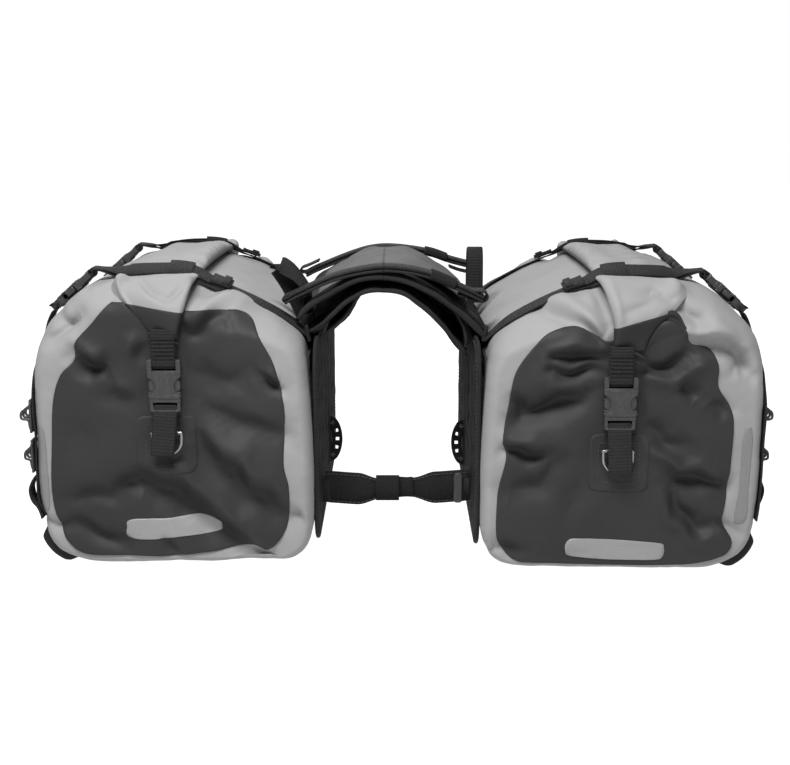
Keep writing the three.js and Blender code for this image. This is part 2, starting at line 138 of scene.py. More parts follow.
class Graph:
    """A material's node tree, with short calls to add and join nodes."""

    def __init__(self, name, colour, roughness, metallic=0.0, specular=0.5):
        self.material = bpy.data.materials.new(name)
        self.material.use_nodes = True
        self.tree = self.material.node_tree
        self.shader = self.tree.nodes["Principled BSDF"]
        self.shader.inputs["Base Color"].default_value = (*colour, 1)
        self.shader.inputs["Roughness"].default_value = roughness
        self.shader.inputs["Metallic"].default_value = metallic
        self.shader.inputs["Specular IOR Level"].default_value = specular

    def add(self, kind, **settings):
        node = self.tree.nodes.new(kind)
        inputs = settings.pop("inputs", {})
        for key, value in settings.items():
            setattr(node, key, value)
        for key, value in inputs.items():
            if isinstance(value, bpy.types.NodeSocket):
                self.tree.links.new(value, node.inputs[key])
            else:
                node.inputs[key].default_value = value
        return node

    def math(self, operation, a, b=0.0):
        return self.add("ShaderNodeMath", operation=operation, inputs={0: a, 1: b}).outputs[0]

    def place(self, kind="Object"):
        return self.add("ShaderNodeTexCoord").outputs[kind]

    def split(self, vector):
        return self.add("ShaderNodeSeparateXYZ", inputs={0: vector}).outputs

    def noise(self, scale, detail=3.0, vector=None, roughness=0.5):
        vector = vector or self.place()
        node = self.add("ShaderNodeTexNoise", inputs={"Vector": vector, "Scale": scale, "Detail": detail,
                                                      "Roughness": roughness})
        return node.outputs["Fac"]

    def stretch(self, vector, scale):
        return self.add("ShaderNodeMapping", inputs={"Vector": vector, "Scale": scale}).outputs[0]

    def between(self, fac, low, high):
        node = self.add("ShaderNodeMapRange", inputs={"Value": fac, "To Min": low, "To Max": high})
        return node.outputs[0]

    def ramp(self, fac, *stops):
        node = self.add("ShaderNodeValToRGB", inputs={"Fac": fac})
        elements = node.color_ramp.elements
        while len(elements) < len(stops):
            elements.new(0.5)
        for element, (place, colour) in zip(elements, stops):
            element.position = place
            element.color = (*colour, 1)
        return node.outputs["Color"]

    def mix(self, fac, a, b):
        node = self.add("ShaderNodeMix", data_type="RGBA")
        for socket, value in ((node.inputs[0], fac), (node.inputs[6], a), (node.inputs[7], b)):
            if isinstance(value, bpy.types.NodeSocket):
                self.tree.links.new(value, socket)
            else:
                socket.default_value = value if isinstance(value, float) else (*value, 1)
        return node.outputs[2]

    def bump(self, height, strength, distance, normal=None):
        inputs = {"Height": height, "Strength": strength, "Distance": distance}
        if normal is not None:
            inputs["Normal"] = normal
        return self.add("ShaderNodeBump", inputs=inputs).outputs["Normal"]

    def finish(self, colour=None, roughness=None, normal=None):
        for key, value in (("Base Color", colour), ("Roughness", roughness), ("Normal", normal)):
            if value is not None:
                self.tree.links.new(value, self.shader.inputs[key])
        return self.material


def plain_material(name, colour, roughness):
    return Graph(name, colour, roughness).material


def grey(level):
    return (level, level, level)


def shade(colour, factor):
    return tuple(channel * factor for channel in colour)


def weave_height(graph, pitch):
    """Plain weave over a piece's UVs, which are in metres."""
    u, v, _ = graph.split(graph.place("UV"))
    turn = 2 * math.pi / pitch
    a = graph.math("SINE", graph.math("MULTIPLY", u, turn))
    b = graph.math("SINE", graph.math("MULTIPLY", v, turn))
    return graph.math("MULTIPLY", a, b)


def coated_fabric(name, colour, roughness, mottle, grain):
    """Smooth coated fabric: a faint weave under the coating, soft mottling and light scuffs."""
    graph = Graph(name, colour, roughness, specular=0.16)
    cloud = graph.noise(9.0, 4.0)
    scuff = graph.noise(1.0, 6.0, graph.stretch(graph.place(), (70, 260, 45)), 0.7)
    fine = graph.noise(1300.0, 2.0)
    tone = graph.ramp(cloud, (0.25, shade(colour, 1 - mottle)), (0.75, shade(colour, 1 + mottle)))
    tone = graph.mix(graph.between(scuff, -0.12, 0.2), tone, shade(colour, 1.25))
    rough = graph.between(graph.noise(26.0, 5.0), roughness - 0.09, roughness + 0.09)
    weave = graph.bump(weave_height(graph, 0.0011), grain, 0.0002)
    dimple = graph.bump(fine, grain * 0.8, 0.0003, weave)
    return graph.finish(tone, rough, dimple)


def webbing_material(name, colour):
    """Woven nylon webbing: ribs across the strap, crossed by a herringbone, with painted shade in the weave's
    hollows and painted highlights on its ribs. UVs run along and across it.
    """
    graph = Graph(name, colour, 0.72, specular=0.25)
    u, v, _ = graph.split(graph.place("UV"))
    rib = graph.math("SINE", graph.math("MULTIPLY", u, 2 * math.pi / 0.0034))
    side = graph.math("PINGPONG", v, 0.0021)
    slant = graph.math("ADD", u, graph.math("MULTIPLY", side, 1.4))
    twill = graph.math("SINE", graph.math("MULTIPLY", slant, 2 * math.pi / 0.0017))
    height = graph.math("ADD", graph.math("MULTIPLY", rib, 0.6), graph.math("MULTIPLY", twill, 0.5))
    fuzz = graph.noise(1800.0, 2.0)
    # Painted shade and highlight: the colour follows the weave's height, darker in its hollows and lighter on
    # the rib tops.
    tone = graph.ramp(graph.between(height, 0.5, 1.0), (0.2, shade(colour, 0.45)), (0.95, shade(colour, 1.9)))
    tone = graph.mix(graph.between(graph.noise(40.0, 4.0), 0.0, 0.25), tone, shade(colour, 1.7))
    normal = graph.bump(height, 0.9, 0.0004)
    return graph.finish(tone, None, graph.bump(fuzz, 0.35, 0.0003, normal))


def textile_material(name, colour, pitch, strength=0.8):
    """Uncoated woven polyester: a coarse plain weave with a little fluff, and painted shade and highlight
    that follow the weave's height.
    """
    graph = Graph(name, colour, 0.88, specular=0.2)
    weave = weave_height(graph, pitch)
    # Painted shade and highlight: the colour follows the weave's height, darker in its hollows and lighter
    # where the threads cross on top.
    tone = graph.ramp(graph.between(weave, 0.0, 1.0), (0.15, shade(colour, 0.5)), (0.9, shade(colour, 1.7)))
    tone = graph.mix(graph.between(graph.noise(18.0, 5.0), 0.0, 0.3), tone, shade(colour, 1.5))
    normal = graph.bump(weave, strength, 0.0004)
    return graph.finish(tone, None, graph.bump(graph.noise(900.0), 0.3, 0.0004, normal))


def pile_material(name, colour):
    """Hook-and-loop pile: fuzzy and uneven, with painted highlights on the tufts' tops and painted shade
    between them.
    """
    graph = Graph(name, colour, 1.0, specular=0.1)
    tufts = graph.noise(700.0, 6.0, roughness=0.75)
    clumps = graph.noise(120.0, 4.0)
    # Painted highlight and shade: the tufts that the bump raises are lighter, and the hollows between them
    # are darker.
    tone = graph.ramp(tufts, (0.3, shade(colour, 0.45)), (0.72, shade(colour, 2.2)))
    normal = graph.bump(clumps, 0.5, 0.0012)
    return graph.finish(tone, None, graph.bump(tufts, 1.0, 0.0012, normal))


def plastic_material(name, colour, roughness):
    """Moulded acetal: satin, finely textured, with scuffed high spots."""
    graph = Graph(name, colour, roughness, specular=0.35)
    scuff = graph.noise(1.0, 6.0, graph.stretch(graph.place(), (500, 500, 160)), 0.75)
    tone = graph.ramp(scuff, (0.45, colour), (0.85, shade(colour, 2.3)))
    rough = graph.between(graph.noise(180.0, 4.0), roughness - 0.1, roughness + 0.12)
    return graph.finish(tone, rough, graph.bump(graph.noise(1500.0, 2.0), 0.25, 0.0003))


def metal_material(name, colour):
    graph = Graph(name, colour, 0.25, 1.0)
    worn = graph.noise(260.0, 5.0, roughness=0.7)
    rough = graph.between(worn, 0.16, 0.48)
    tone = graph.ramp(worn, (0.3, shade(colour, 0.7)), (0.8, colour))
    return graph.finish(tone, rough, graph.bump(worn, 0.2, 0.0002))


def rubber_material(name, colour):
    graph = Graph(name, colour, 0.6, specular=0.2)
    worn = graph.noise(300.0, 5.0, roughness=0.7)
    tone = graph.ramp(worn, (0.35, shade(colour, 0.7)), (0.8, shade(colour, 1.6)))
    return graph.finish(tone, graph.between(worn, 0.45, 0.75), graph.bump(worn, 0.35, 0.0004))


def reflective_material(name, colour):
    """Retro-reflective film: a fine honeycomb of cells under a smooth surface."""
    graph = Graph(name, colour, 0.42)
    cells = graph.add("ShaderNodeTexVoronoi", feature="DISTANCE_TO_EDGE",
                      inputs={"Vector": graph.place(), "Scale": 650.0}).outputs["Distance"]
    tone = graph.ramp(cells, (0.0, shade(colour, 0.8)), (0.12, colour))
    tone = graph.mix(graph.between(graph.noise(14.0, 4.0), 0.0, 0.35), tone, shade(colour, 0.86))
    return graph.finish(tone, None, graph.bump(cells, 0.25, 0.0002))


MATERIALS = {
    "shell": coated_fabric("shell_fabric", grey(0.21), 0.66, 0.035, 0.12),
    "tarpaulin": coated_fabric("tarpaulin", grey(0.0215), 0.58, 0.14, 0.22),
    "yoke_panel": coated_fabric("yoke_panel", grey(0.068), 0.6, 0.08, 0.2),
    "pad": textile_material("pad_fabric", grey(0.022), 0.0022, 0.5),
    "textile": textile_material("back_textile", grey(0.0024), 0.0018),
    "piping": textile_material("piping", grey(0.019), 0.0014, 0.9),
    "webbing": webbing_material("webbing", grey(0.0085)),
    "pile": pile_material("hook_and_loop", grey(0.010)),
    "plastic": plastic_material("buckle_plastic", grey(0.022), 0.36),
    "steel": metal_material("plated_steel", grey(0.26)),
    "rubber": rubber_material("rubber", grey(0.0055)),
    "reflective": reflective_material("reflective_film", grey(0.20)),
    "side_film": reflective_material("side_film", grey(0.145)),
    "thread": textile_material("thread", grey(0.075), 0.0007),
    "board": plastic_material("board_plastic", grey(0.02), 0.5),
}

# ---- Mesh helpers -----------------------------------------------------------------------------------


def link_mesh(name, points, faces, uvs, material):
    """A smooth mesh object. uvs is None or holds one (u, v) for each corner of each face."""
    mesh = bpy.data.meshes.new(name)
    mesh.from_pydata([tuple(p) for p in points], [], [tuple(f) for f in faces])
    if uvs is not None:
        layer = mesh.uv_layers.new(name="metres")
        layer.data.foreach_set("uv", np.asarray(uvs, dtype=np.float32).ravel())
    mesh.polygons.foreach_set("use_smooth", [True] * len(mesh.polygons))
    mesh.materials.append(MATERIALS[material])
    obj = bpy.data.objects.new(name, mesh)
    bpy.context.collection.objects.link(obj)
    return obj


def grid_mesh(name, rows, material, wrap=False, caps=False, flip=False):
    """A surface through rows of points, shape (rows, columns, 3). wrap joins the last column to the first."""
    rows = np.asarray(rows, dtype=float)
    count, width = rows.shape[:2]
    along = np.concatenate([[0], np.cumsum(np.linalg.norm(np.diff(rows, axis=0), axis=2).mean(axis=1))])
    middle = rows[count // 2]
    steps = np.linalg.norm(np.roll(middle, -1, axis=0) - middle, axis=1)
    across = np.concatenate([[0], np.cumsum(steps)])
    faces, uvs = [], []
    for r in range(count - 1):
        for c in range(width if wrap else width - 1):
            d = (c + 1) % width
            face = [r * width + c, r * width + d, (r + 1) * width + d, (r + 1) * width + c]
            corner = [(along[r], across[c]), (along[r], across[c + 1]),
                      (along[r + 1], across[c + 1]), (along[r + 1], across[c])]
            faces.append(face[::-1] if flip else face)
            uvs.extend(corner[::-1] if flip else corner)
    points = rows.reshape(-1, 3)
    if caps:
        for r, turned in ((0, not flip), (count - 1, flip)):
            loop = [r * width + c for c in range(width)]
            faces.append(loop[::-1] if turned else loop)
            uvs.extend([(points[i][0], points[i][2]) for i in faces[-1]])
    return link_mesh(name, points, faces, uvs, material)


def smooth_line(points, step=0.003, closed=False):
    """Points spaced evenly along a smooth curve through the given points, of any dimension."""
    points = np.asarray(points, dtype=float)
    if closed:
        padded = np.vstack([points[-1], points, points[0], points[1]])
    else:
        padded = np.vstack([2 * points[0] - points[1], points, 2 * points[-1] - points[-2]])
    pieces = []
    for i in range(len(padded) - 3):
        a, b, c, d = padded[i:i + 4]
        t = np.linspace(0, 1, 24, endpoint=False)[:, None]
        pieces.append(0.5 * (2 * b + (c - a) * t + (2 * a - 5 * b + 4 * c - d) * t ** 2
                             + (3 * b - a - 3 * c + d) * t ** 3))
    line = np.vstack(pieces + ([pieces[0][:1]] if closed else [points[-1:]]))
    lengths = np.concatenate([[0], np.cumsum(np.linalg.norm(np.diff(line, axis=0), axis=1))])
    count = max(3, int(round(lengths[-1] / step)) + 1)
    spots = np.linspace(0, lengths[-1], count)
    if closed:
        spots = spots[:-1]
    return np.stack([np.interp(spots, lengths, line[:, k]) for k in range(line.shape[1])], axis=1)


def unit(vectors):
    vectors = np.asarray(vectors, dtype=float)
    return vectors / np.maximum(np.linalg.norm(vectors, axis=-1, keepdims=True), 1e-9)


def smoothstep(x, low=0.0, high=1.0):
    t = np.clip((np.asarray(x, dtype=float) - low) / (high - low), 0, 1)
    return t * t * (3 - 2 * t)


def ribbon(name, path, across, width=WEB_WIDTH, thickness=WEB_THICKNESS, material="webbing", widths=None):
    """A flat strap along a path. across is the direction of its width, one vector or one per point."""
    path = np.asarray(path, dtype=float)
    across = unit(np.broadcast_to(np.asarray(across, dtype=float), path.shape))
    tangent = unit(np.gradient(path, axis=0))
    up = unit(np.cross(tangent, across))
    across = unit(np.cross(up, tangent))
    widths = np.full(len(path), width) if widths is None else np.asarray(widths)
    half, edge = thickness / 2, min(thickness, 0.0016) / 2
    profile = [(-1, -edge, -half), (0, 0, -half), (1, edge, -half), (1, 0, 0), (1, edge, half), (0, 0, half),
               (-1, -edge, half), (-1, 0, 0)]
    rows = np.stack([
        path + across * (side * widths[:, None] / 2 - inset) + up * height
        for side, inset, height in profile], axis=1)
    return grid_mesh(name, rows, material, wrap=True, caps=True)


def tube(name, path, radius, material, closed=False, sides=10):
    """A round cord or wire along a path."""
    path = np.asarray(path, dtype=float)
    if closed:
        tangent = unit(np.roll(path, -1, axis=0) - np.roll(path, 1, axis=0))
    else:
        tangent = unit(np.gradient(path, axis=0))
    guide = np.array([0.0, 0.0, 1.0]) if abs(tangent[:, 2]).mean() < 0.8 else np.array([1.0, 0.0, 0.0])
    normals = []
    normal = unit(np.cross(tangent[0], guide))
    for t in tangent:
        normal = unit(normal - t * np.dot(normal, t))
        normals.append(normal)
    normals = np.array(normals)
    binormals = np.cross(tangent, normals)
    angles = np.linspace(0, 2 * math.pi, sides, endpoint=False)
    spokes = [normals * math.cos(a) + binormals * math.sin(a) for a in angles]
    rows = np.stack([path + radius * spoke for spoke in spokes], axis=1)
    if closed:
        rows = np.vstack([rows, rows[:1]])
    return grid_mesh(name, rows, material, wrap=True, caps=not closed)


def stitches(name, path, normals, material="thread", length=0.0032, gap=0.0016, radius=0.00042):
    """A row of thread stitches along a path, each a short bar that dips at both ends."""
    path = np.asarray(path, dtype=float)
    normals = np.broadcast_to(np.asarray(normals, dtype=float), path.shape)
    lengths = np.concatenate([[0], np.cumsum(np.linalg.norm(np.diff(path, axis=0), axis=1))])
    points, faces = [], []
    start = gap
    while start + length < lengths[-1]:
        spots = np.linspace(start, start + length, 4)
        line = np.stack([np.interp(spots, lengths, path[:, k]) for k in range(3)], axis=1)
        lift = np.stack([np.interp(spots, lengths, normals[:, k]) for k in range(3)], axis=1)
        line = line + lift * radius * np.array([-0.6, 0.9, 0.9, -0.6])[:, None]
        tangent = unit(line[-1] - line[0])
        side = unit(np.cross(tangent, lift[1]))
        base = len(points)
        for p, n in zip(line, lift):
            points.extend([p - side * radius, p + n * radius, p + side * radius, p - n * radius])
        for k in range(3):
            for j in range(4):
                a, b = base + 4 * k + j, base + 4 * k + (j + 1) % 4
                faces.append((a, b, b + 4, a + 4))
        start += length + gap
    return link_mesh(name, points, faces, None, material) if points else None


def join(name, objects):
    objects = [o for o in objects if o]
    bpy.ops.object.select_all(action="DESELECT")
    for obj in objects:
        obj.select_set(True)
    bpy.context.view_layer.objects.active = objects[0]
    if len(objects) > 1:
        bpy.ops.object.join()
    objects[0].name = name
    return objects[0]


def plate(name, outline, thickness, bevel=0.0008, holes=(), material="plastic"):
    """A flat moulded plate in the XZ plane, centred on Y = 0, with rounded edges and any holes."""
    data = bpy.data.curves.new(name, "CURVE")
    data.dimensions = "2D"
    data.fill_mode = "BOTH"
    data.extrude = thickness / 2 - bevel
    data.bevel_depth = bevel
    data.bevel_resolution = 2
    for loop in [outline, *holes]:
        spline = data.splines.new("POLY")
        spline.points.add(len(loop) - 1)
        for point, (x, z) in zip(spline.points, loop):
            point.co = (x, z, 0, 1)
        spline.use_cyclic_u = True
    curve = bpy.data.objects.new(name, data)
    bpy.context.collection.objects.link(curve)
    bpy.context.view_layer.update()
    mesh = bpy.data.meshes.new_from_object(curve.evaluated_get(bpy.context.evaluated_depsgraph_get()))
    bpy.data.objects.remove(curve)
    mesh.transform(Matrix.Rotation(math.pi / 2, 4, "X"))
    mesh.materials.clear()
    mesh.materials.append(MATERIALS[material])
    obj = bpy.data.objects.new(name, mesh)
    bpy.context.collection.objects.link(obj)
    return obj


def rounded_loop(x0, x1, z0, z1, radius, steps=5):
    """A closed rectangle of (x, z) points with rounded corners."""
    loop = []
    for cx, cz, start in ((x1 - radius, z0 + radius, -90), (x1 - radius, z1 - radius, 0),
                          (x0 + radius, z1 - radius, 90), (x0 + radius, z0 + radius, 180)):
        for k in range(steps + 1):
            angle = math.radians(start + 90 * k / steps)
            loop.append((cx + radius * math.cos(angle), cz + radius * math.sin(angle)))
    return loop


def at_y(line, y):
    """World points of a line of (x, z), all at the same y."""
    line = np.asarray(line)
    return np.stack([line[:, 0], np.full(len(line), y), line[:, 1]], -1)


# ---- The bag's surface --------------------------------------------------------------------------------
# Everything of a bag is worked out as (u, y, z) for its front half and put in place by to_world().

CENTRE = np.array([0.237, 0.155])       # a bag's own centre, as (u, z)
FACE_Y = -0.210                         # the flat of the end
STRAP_STATION = 0.139                   # how far the compression straps stand from the bag's middle
FLOOR_GAP = 0.0003                      # the bag's bottom stands this high
COVER_GAP = 0.0006                      # what lies over the bag stays this much higher
INNER_WALL = 0.0895                     # no part of a bag's skin comes nearer to the centre plane
SECTION = [
    (0.122, 0.0008), (0.160, 0.0), (0.237, 0.0), (0.300, 0.0), (0.338, 0.0015), (0.369, 0.014),
    (0.383, 0.042), (0.387, 0.090), (0.387, 0.150), (0.386, 0.205), (0.3815, 0.241), (0.3725, 0.2610),
    (0.360, 0.2755), (0.345, 0.2892), (0.331, 0.2980), (0.313, 0.3020), (0.290, 0.3032), (0.270, 0.303),
    (0.225, 0.301), (0.190, 0.2915), (0.155, 0.276), (0.124, 0.259), (0.104, 0.243), (0.097, 0.222),
    (0.0935, 0.185), (0.0905, 0.130), (0.0900, 0.080), (0.0915, 0.036), (0.101, 0.012),
]
PANEL = {
    "left": [
        (0.290, 0.285), (0.301, 0.283), (0.320, 0.263), (0.336, 0.245), (0.339, 0.226), (0.354, 0.209),
        (0.363, 0.181), (0.368, 0.128), (0.370, 0.074), (0.364, 0.044), (0.354, 0.023), (0.335, 0.011),
        (0.290, 0.010), (0.240, 0.009), (0.162, 0.018), (0.143, 0.012), (0.128, 0.025), (0.118, 0.047),
        (0.116, 0.085), (0.121, 0.112), (0.120, 0.150), (0.119, 0.167), (0.121, 0.185), (0.129, 0.220),
        (0.144, 0.249), (0.156, 0.268), (0.183, 0.276), (0.207, 0.276), (0.240, 0.280)],
    "right": [
        (0.222, 0.250), (0.205, 0.256), (0.185, 0.265), (0.165, 0.260), (0.148, 0.249), (0.125, 0.218),
        (0.118, 0.182), (0.112, 0.144), (0.116, 0.126), (0.108, 0.084), (0.107, 0.039), (0.115, 0.021),
        (0.129, 0.009), (0.150, 0.007), (0.219, 0.006), (0.300, 0.006), (0.322, 0.008), (0.343, 0.013),
        (0.355, 0.020), (0.358, 0.034), (0.347, 0.056), (0.350, 0.086), (0.352, 0.130), (0.352, 0.166),
        (0.347, 0.182), (0.334, 0.202), (0.333, 0.225), (0.324, 0.241), (0.304, 0.247), (0.297, 0.262),
        (0.280, 0.276), (0.250, 0.272)],
}
OTHER = {"left": "right", "right": "left"}
FOLD_GAIN = 3.4

# Folds in a bag's end, in millimetres: the line of the fold as (u, z), its height, and its width on its
# left and right hands. A negative height is a valley.
FOLDS = {
    "left": [
        ([(336, 230), (325, 219), (315, 216), (304, 223)], -4.2, 10, 9),
        ([(337, 239), (324, 237), (306, 228)], 2.0, 8, 10),
        ([(265, 247), (265, 237), (261, 224)], -2.6, 7, 8),
        ([(283, 237), (274, 247), (261, 250)], 2.2, 8, 7),
        ([(227, 259), (207, 261), (186, 272), (174, 268)], -3.0, 10, 6),
        ([(223, 215), (209, 207), (189, 202), (168, 204), (155, 210)], -3.0, 18, 15),
        ([(141, 207), (134, 202), (124, 196)], -3.4, 7, 7),
        ([(140, 213), (132, 211), (126, 203)], 1.6, 6, 6),
        ([(210, 179), (192, 169), (169, 160), (142, 150), (121, 142)], -3.8, 20, 13),
        ([(219, 155), (211, 132), (191, 110), (166, 86), (145, 69), (120, 50)], -5.2, 26, 15),
        ([(211, 155), (189, 133), (164, 114), (128, 87)], 2.2, 14, 14),
        ([(285, 91), (268, 92), (245, 79), (226, 67), (204, 48), (183, 29), (160, 14),
          (143, 12)], -5.4, 18, 15),
        ([(268, 109), (243, 103), (213, 87), (187, 63), (155, 38)], 2.4, 12, 14),
        ([(357, 74), (320, 76), (294, 85), (277, 91)], -3.2, 14, 13),
        ([(363, 45), (339, 39), (314, 30), (293, 22)], -3.4, 10, 11),
        ([(254, 24), (247, 17), (239, 9)], -2.0, 8, 7),
        ([(359, 142), (338, 144), (316, 151)], -2.0, 22, 22),
        ([(299, 209), (281, 196), (266, 186)], 1.6, 12, 12),
        ([(318, 190), (294, 186), (271, 186)], -2.0, 14, 14),
        ([(221, 249), (223, 215), (225, 173)], -1.4, 5, 9),
        ([(323, 299), (304, 310), (290, 315)], -4.0, 9, 8),
        ([(345, 283), (323, 292), (298, 302), (284, 291)], 2.6, 9, 8),
        ([(354, 270), (346, 266), (331, 270)], -3.4, 8, 8),
        ([(369, 247), (352, 258), (339, 262)], -3.0, 10, 7),
        ([(217, 270), (196, 281), (169, 286), (145, 285), (122, 272)], 3.2, 10, 8),
        ([(216, 292), (194, 294), (169, 294), (145, 292)], -3.0, 9, 8),
        ([(149, 287), (135, 283), (122, 272)], -1.8, 7, 7),
        ([(388, 49), (375, 46), (363, 43)], -1.4, 5, 5),
        ([(114, 54), (108, 52), (102, 43)], -1.6, 6, 6),
        ([(154, 13), (143, 6), (132, 5)], -1.8, 6, 6),
    ],
    "right": [
        ([(168, 233), (196, 231), (224, 229)], -4.4, 8, 8),
        ([(153, 236), (163, 244), (187, 247), (218, 242)], 2.0, 7, 8),
        ([(155, 225), (175, 225), (201, 226), (223, 225)], 2.6, 7, 7),
        ([(164, 219), (188, 216), (221, 218)], -4.2, 7, 9),
        ([(154, 204), (171, 202), (197, 204), (219, 209)], 2.4, 14, 12),
        ([(132, 176), (154, 178), (180, 186), (202, 195), (219, 200)], -3.6, 16, 16),
        ([(124, 191), (129, 182), (130, 173)], -2.6, 8, 8),
        ([(300, 207), (305, 198), (314, 191)], -3.0, 10, 9),
        ([(297, 218), (310, 225), (328, 225)], 2.0, 8, 9),
        ([(327, 186), (334, 180), (346, 177)], -2.2, 9, 10),
        ([(256, 221), (275, 222), (297, 227), (302, 233)], -4.0, 8, 8),
        ([(258, 211), (280, 212), (302, 218)], 1.8, 9, 10),
        ([(118, 163), (139, 172), (161, 181), (180, 188)], -2.8, 9, 12),
        ([(117, 134), (131, 131), (144, 128), (156, 129)], -4.4, 8, 10),
        ([(116, 144), (131, 141), (149, 139)], 2.2, 7, 9),
        ([(114, 89), (130, 89), (152, 98), (169, 112), (182, 126)], -3.4, 14, 16),
        ([(180, 58), (186, 80), (194, 96), (203, 112)], -2.4, 14, 18),
        ([(256, 160), (279, 147), (302, 131), (322, 119)], -3.2, 12, 12),
        ([(266, 135), (291, 124), (314, 117), (336, 114)], 2.8, 12, 9),
        ([(286, 108), (303, 105), (323, 102), (344, 96)], -4.2, 8, 14),
        ([(282, 87), (288, 68), (301, 49), (324, 37), (349, 35)], 2.8, 9, 9),
        ([(290, 89), (300, 68), (315, 51), (338, 43)], -3.4, 10, 10),
        ([(109, 28), (122, 22), (136, 22)], -2.8, 8, 9),
        ([(120, 4), (159, 11), (195, 9)], -1.4, 12, 12),
        ([(250, 222), (252, 200), (254, 166)], -1.4, 5, 9),
        ([(137, 276), (162, 276), (187, 269), (209, 257)], -3.2, 6, 7),
        ([(141, 282), (167, 282), (195, 273), (217, 258)], 3.0, 8, 8),
        ([(211, 297), (216, 284), (220, 271)], -2.6, 10, 7),
        ([(234, 280), (259, 288), (282, 299), (302, 298)], 3.0, 8, 8),
        ([(289, 288), (301, 282), (312, 271), (310, 264)], -3.2, 8, 8),
        ([(302, 260), (326, 260), (345, 253), (355, 244)], 3.6, 8, 10),
        ([(304, 251), (326, 249), (344, 244), (353, 240)], -3.0, 7, 10),
        ([(342, 236), (351, 233), (360, 227)], -2.8, 9, 9),
        ([(352, 220), (358, 222), (369, 214)], -3.4, 7, 8),
        ([(93, 24), (102, 22), (111, 25)], -1.4, 5, 5),
        ([(344, 51), (358, 47), (367, 40)], -1.4, 6, 6),
    ],
}


def polar_profile(outline, centre=CENTRE, smooth=0.002):
    """The distance from the centre to a closed outline, as a function of the angle."""
    line = smooth_line(outline, smooth, closed=True) - centre
    angles = np.arctan2(line[:, 1], line[:, 0])
    radii = np.hypot(line[:, 0], line[:, 1])
    order = np.argsort(angles)
    angles, radii = angles[order], radii[order]

    def radius(theta):
        return np.interp(theta, angles, radii, period=2 * math.pi)
    return radius


SECTION_RADIUS = polar_profile(SECTION)


def edge_inset(theta):
    """How far the flat of the bag's end stops short of its section: most at the top."""
    upward = smoothstep(np.sin(theta), 0.35, 0.95)
    downward = smoothstep(-np.sin(theta), 0.5, 0.9)
    shoulder = np.exp(-((theta - 0.92) / 0.28) ** 2)
    return 0.013 + 0.017 * upward - 0.006 * downward + 0.006 * shoulder


def edge_depth(theta):
    """How far back from the flat of the end its rounded edge runs out into the wall."""
    return 0.019 + 0.056 * smoothstep(np.sin(theta), 0.3, 0.95) - 0.009 * smoothstep(-np.sin(theta), 0.5, 0.9)


def section_normal(theta):
    """The direction straight out of the section's outline, as (u, z)."""
    step = 0.02
    ahead, behind = theta + step, theta - step
    a = np.stack([np.cos(ahead), np.sin(ahead)], -1) * SECTION_RADIUS(ahead)[..., None]
    b = np.stack([np.cos(behind), np.sin(behind)], -1) * SECTION_RADIUS(behind)[..., None]
    tangent = unit(a - b)
    return np.stack([tangent[..., 1], -tangent[..., 0]], -1)


def waves(points, seed, count, shortest, longest):
    """Gentle seeded unevenness, about -1 to 1, as a sum of plane waves."""
    rng = np.random.default_rng(seed)
    total = np.zeros(points.shape[:-1])
    for _ in range(count):
        direction = unit(rng.normal(size=points.shape[-1]))
        length = shortest * (longest / shortest) ** rng.random()
        total += np.sin(points @ direction * (2 * math.pi / length) + rng.random() * 2 * math.pi)
    return total / math.sqrt(count)


def fold_height(points, folds):
    """The height of a set of folds, in metres, at points of the bag's end given as (u, z)."""
    flat = points.reshape(-1, 2)
    bent = flat + 0.0025 * np.stack([waves(flat, 31, 5, 0.03, 0.09), waves(flat, 32, 5, 0.03, 0.09)], -1)
    total = np.zeros(len(flat))
    for line, height, left_width, right_width in folds:
        path = smooth_line(np.array(line) * MM, 0.0015)
        tangent = unit(np.gradient(path, axis=0))
        offset = bent[:, None, :] - path[None, :, :]
        nearest = np.argmin((offset ** 2).sum(-1), axis=1)
        gap = offset[np.arange(len(flat)), nearest]
        distance = np.hypot(gap[:, 0], gap[:, 1])
        side = tangent[nearest, 0] * gap[:, 1] - tangent[nearest, 1] * gap[:, 0]
        leftward = np.clip(side / np.maximum(distance, 1e-6), -1, 1)
        width = ((left_width + right_width) + (left_width - right_width) * leftward) * MM / 2
        along = nearest / (len(path) - 1)
        taper = 0.35 + 0.65 * np.sin(math.pi * np.clip(along, 0.02, 0.98)) ** 0.6
        total += height * MM * taper * np.exp(-(distance / width) ** 1.8)
    return total.reshape(points.shape[:-1])


FLANK_BULGE = 0.014


def flank_bulge(points):
    """How far a stuffed bag's outer wall stands out, at points (u, y, z) of the bag's front half."""
    u, y, z = points[..., 0], points[..., 1], points[..., 2]
    tall = smoothstep(z, 0.02, 0.08) * (1 - smoothstep(z, 0.19, 0.265))
    return FLANK_BULGE * smoothstep(-np.abs(y), -0.185, -0.130) * tall * smoothstep(u, 0.345, 0.385)


# The two bulges of a stuffed bag's end: the middle of each (u, z), its width and height, and how far out.
END_BULGES = ((0.31, 0.14, 0.055, 0.10, 0.006), (0.165, 0.13, 0.045, 0.10, 0.007))


def end_height(points, look, mouth, across):
    """How far the bag's end stands out of its flat plane: its bulge, folds and unevenness."""
    u, z = points[..., 0], points[..., 1]
    bulge = sum(out * np.exp(-(((u - at_u) / wide) ** 2 + ((z - at_z) / tall) ** 2))
                for at_u, at_z, wide, tall, out in END_BULGES)
    rough = 0.0004 * waves(points, 5 if look == "left" else 6, 9, 0.03, 0.09)
    ripple = 0.00012 * waves(points, 7, 8, 0.009, 0.02)
    height = bulge + FOLD_GAIN * fold_height(points, FOLDS[look]) + rough + ripple
    # The end is level behind the buckle, where its patch and straps lie.
    level = np.exp(-(np.abs(u - across) / 0.030) ** 4) * smoothstep(z, mouth - 0.075, mouth - 0.05)
    level = level * (1 - smoothstep(z, mouth + 0.05, mouth + 0.08))
    return height * (1 - 0.85 * level) - 0.0006 * level


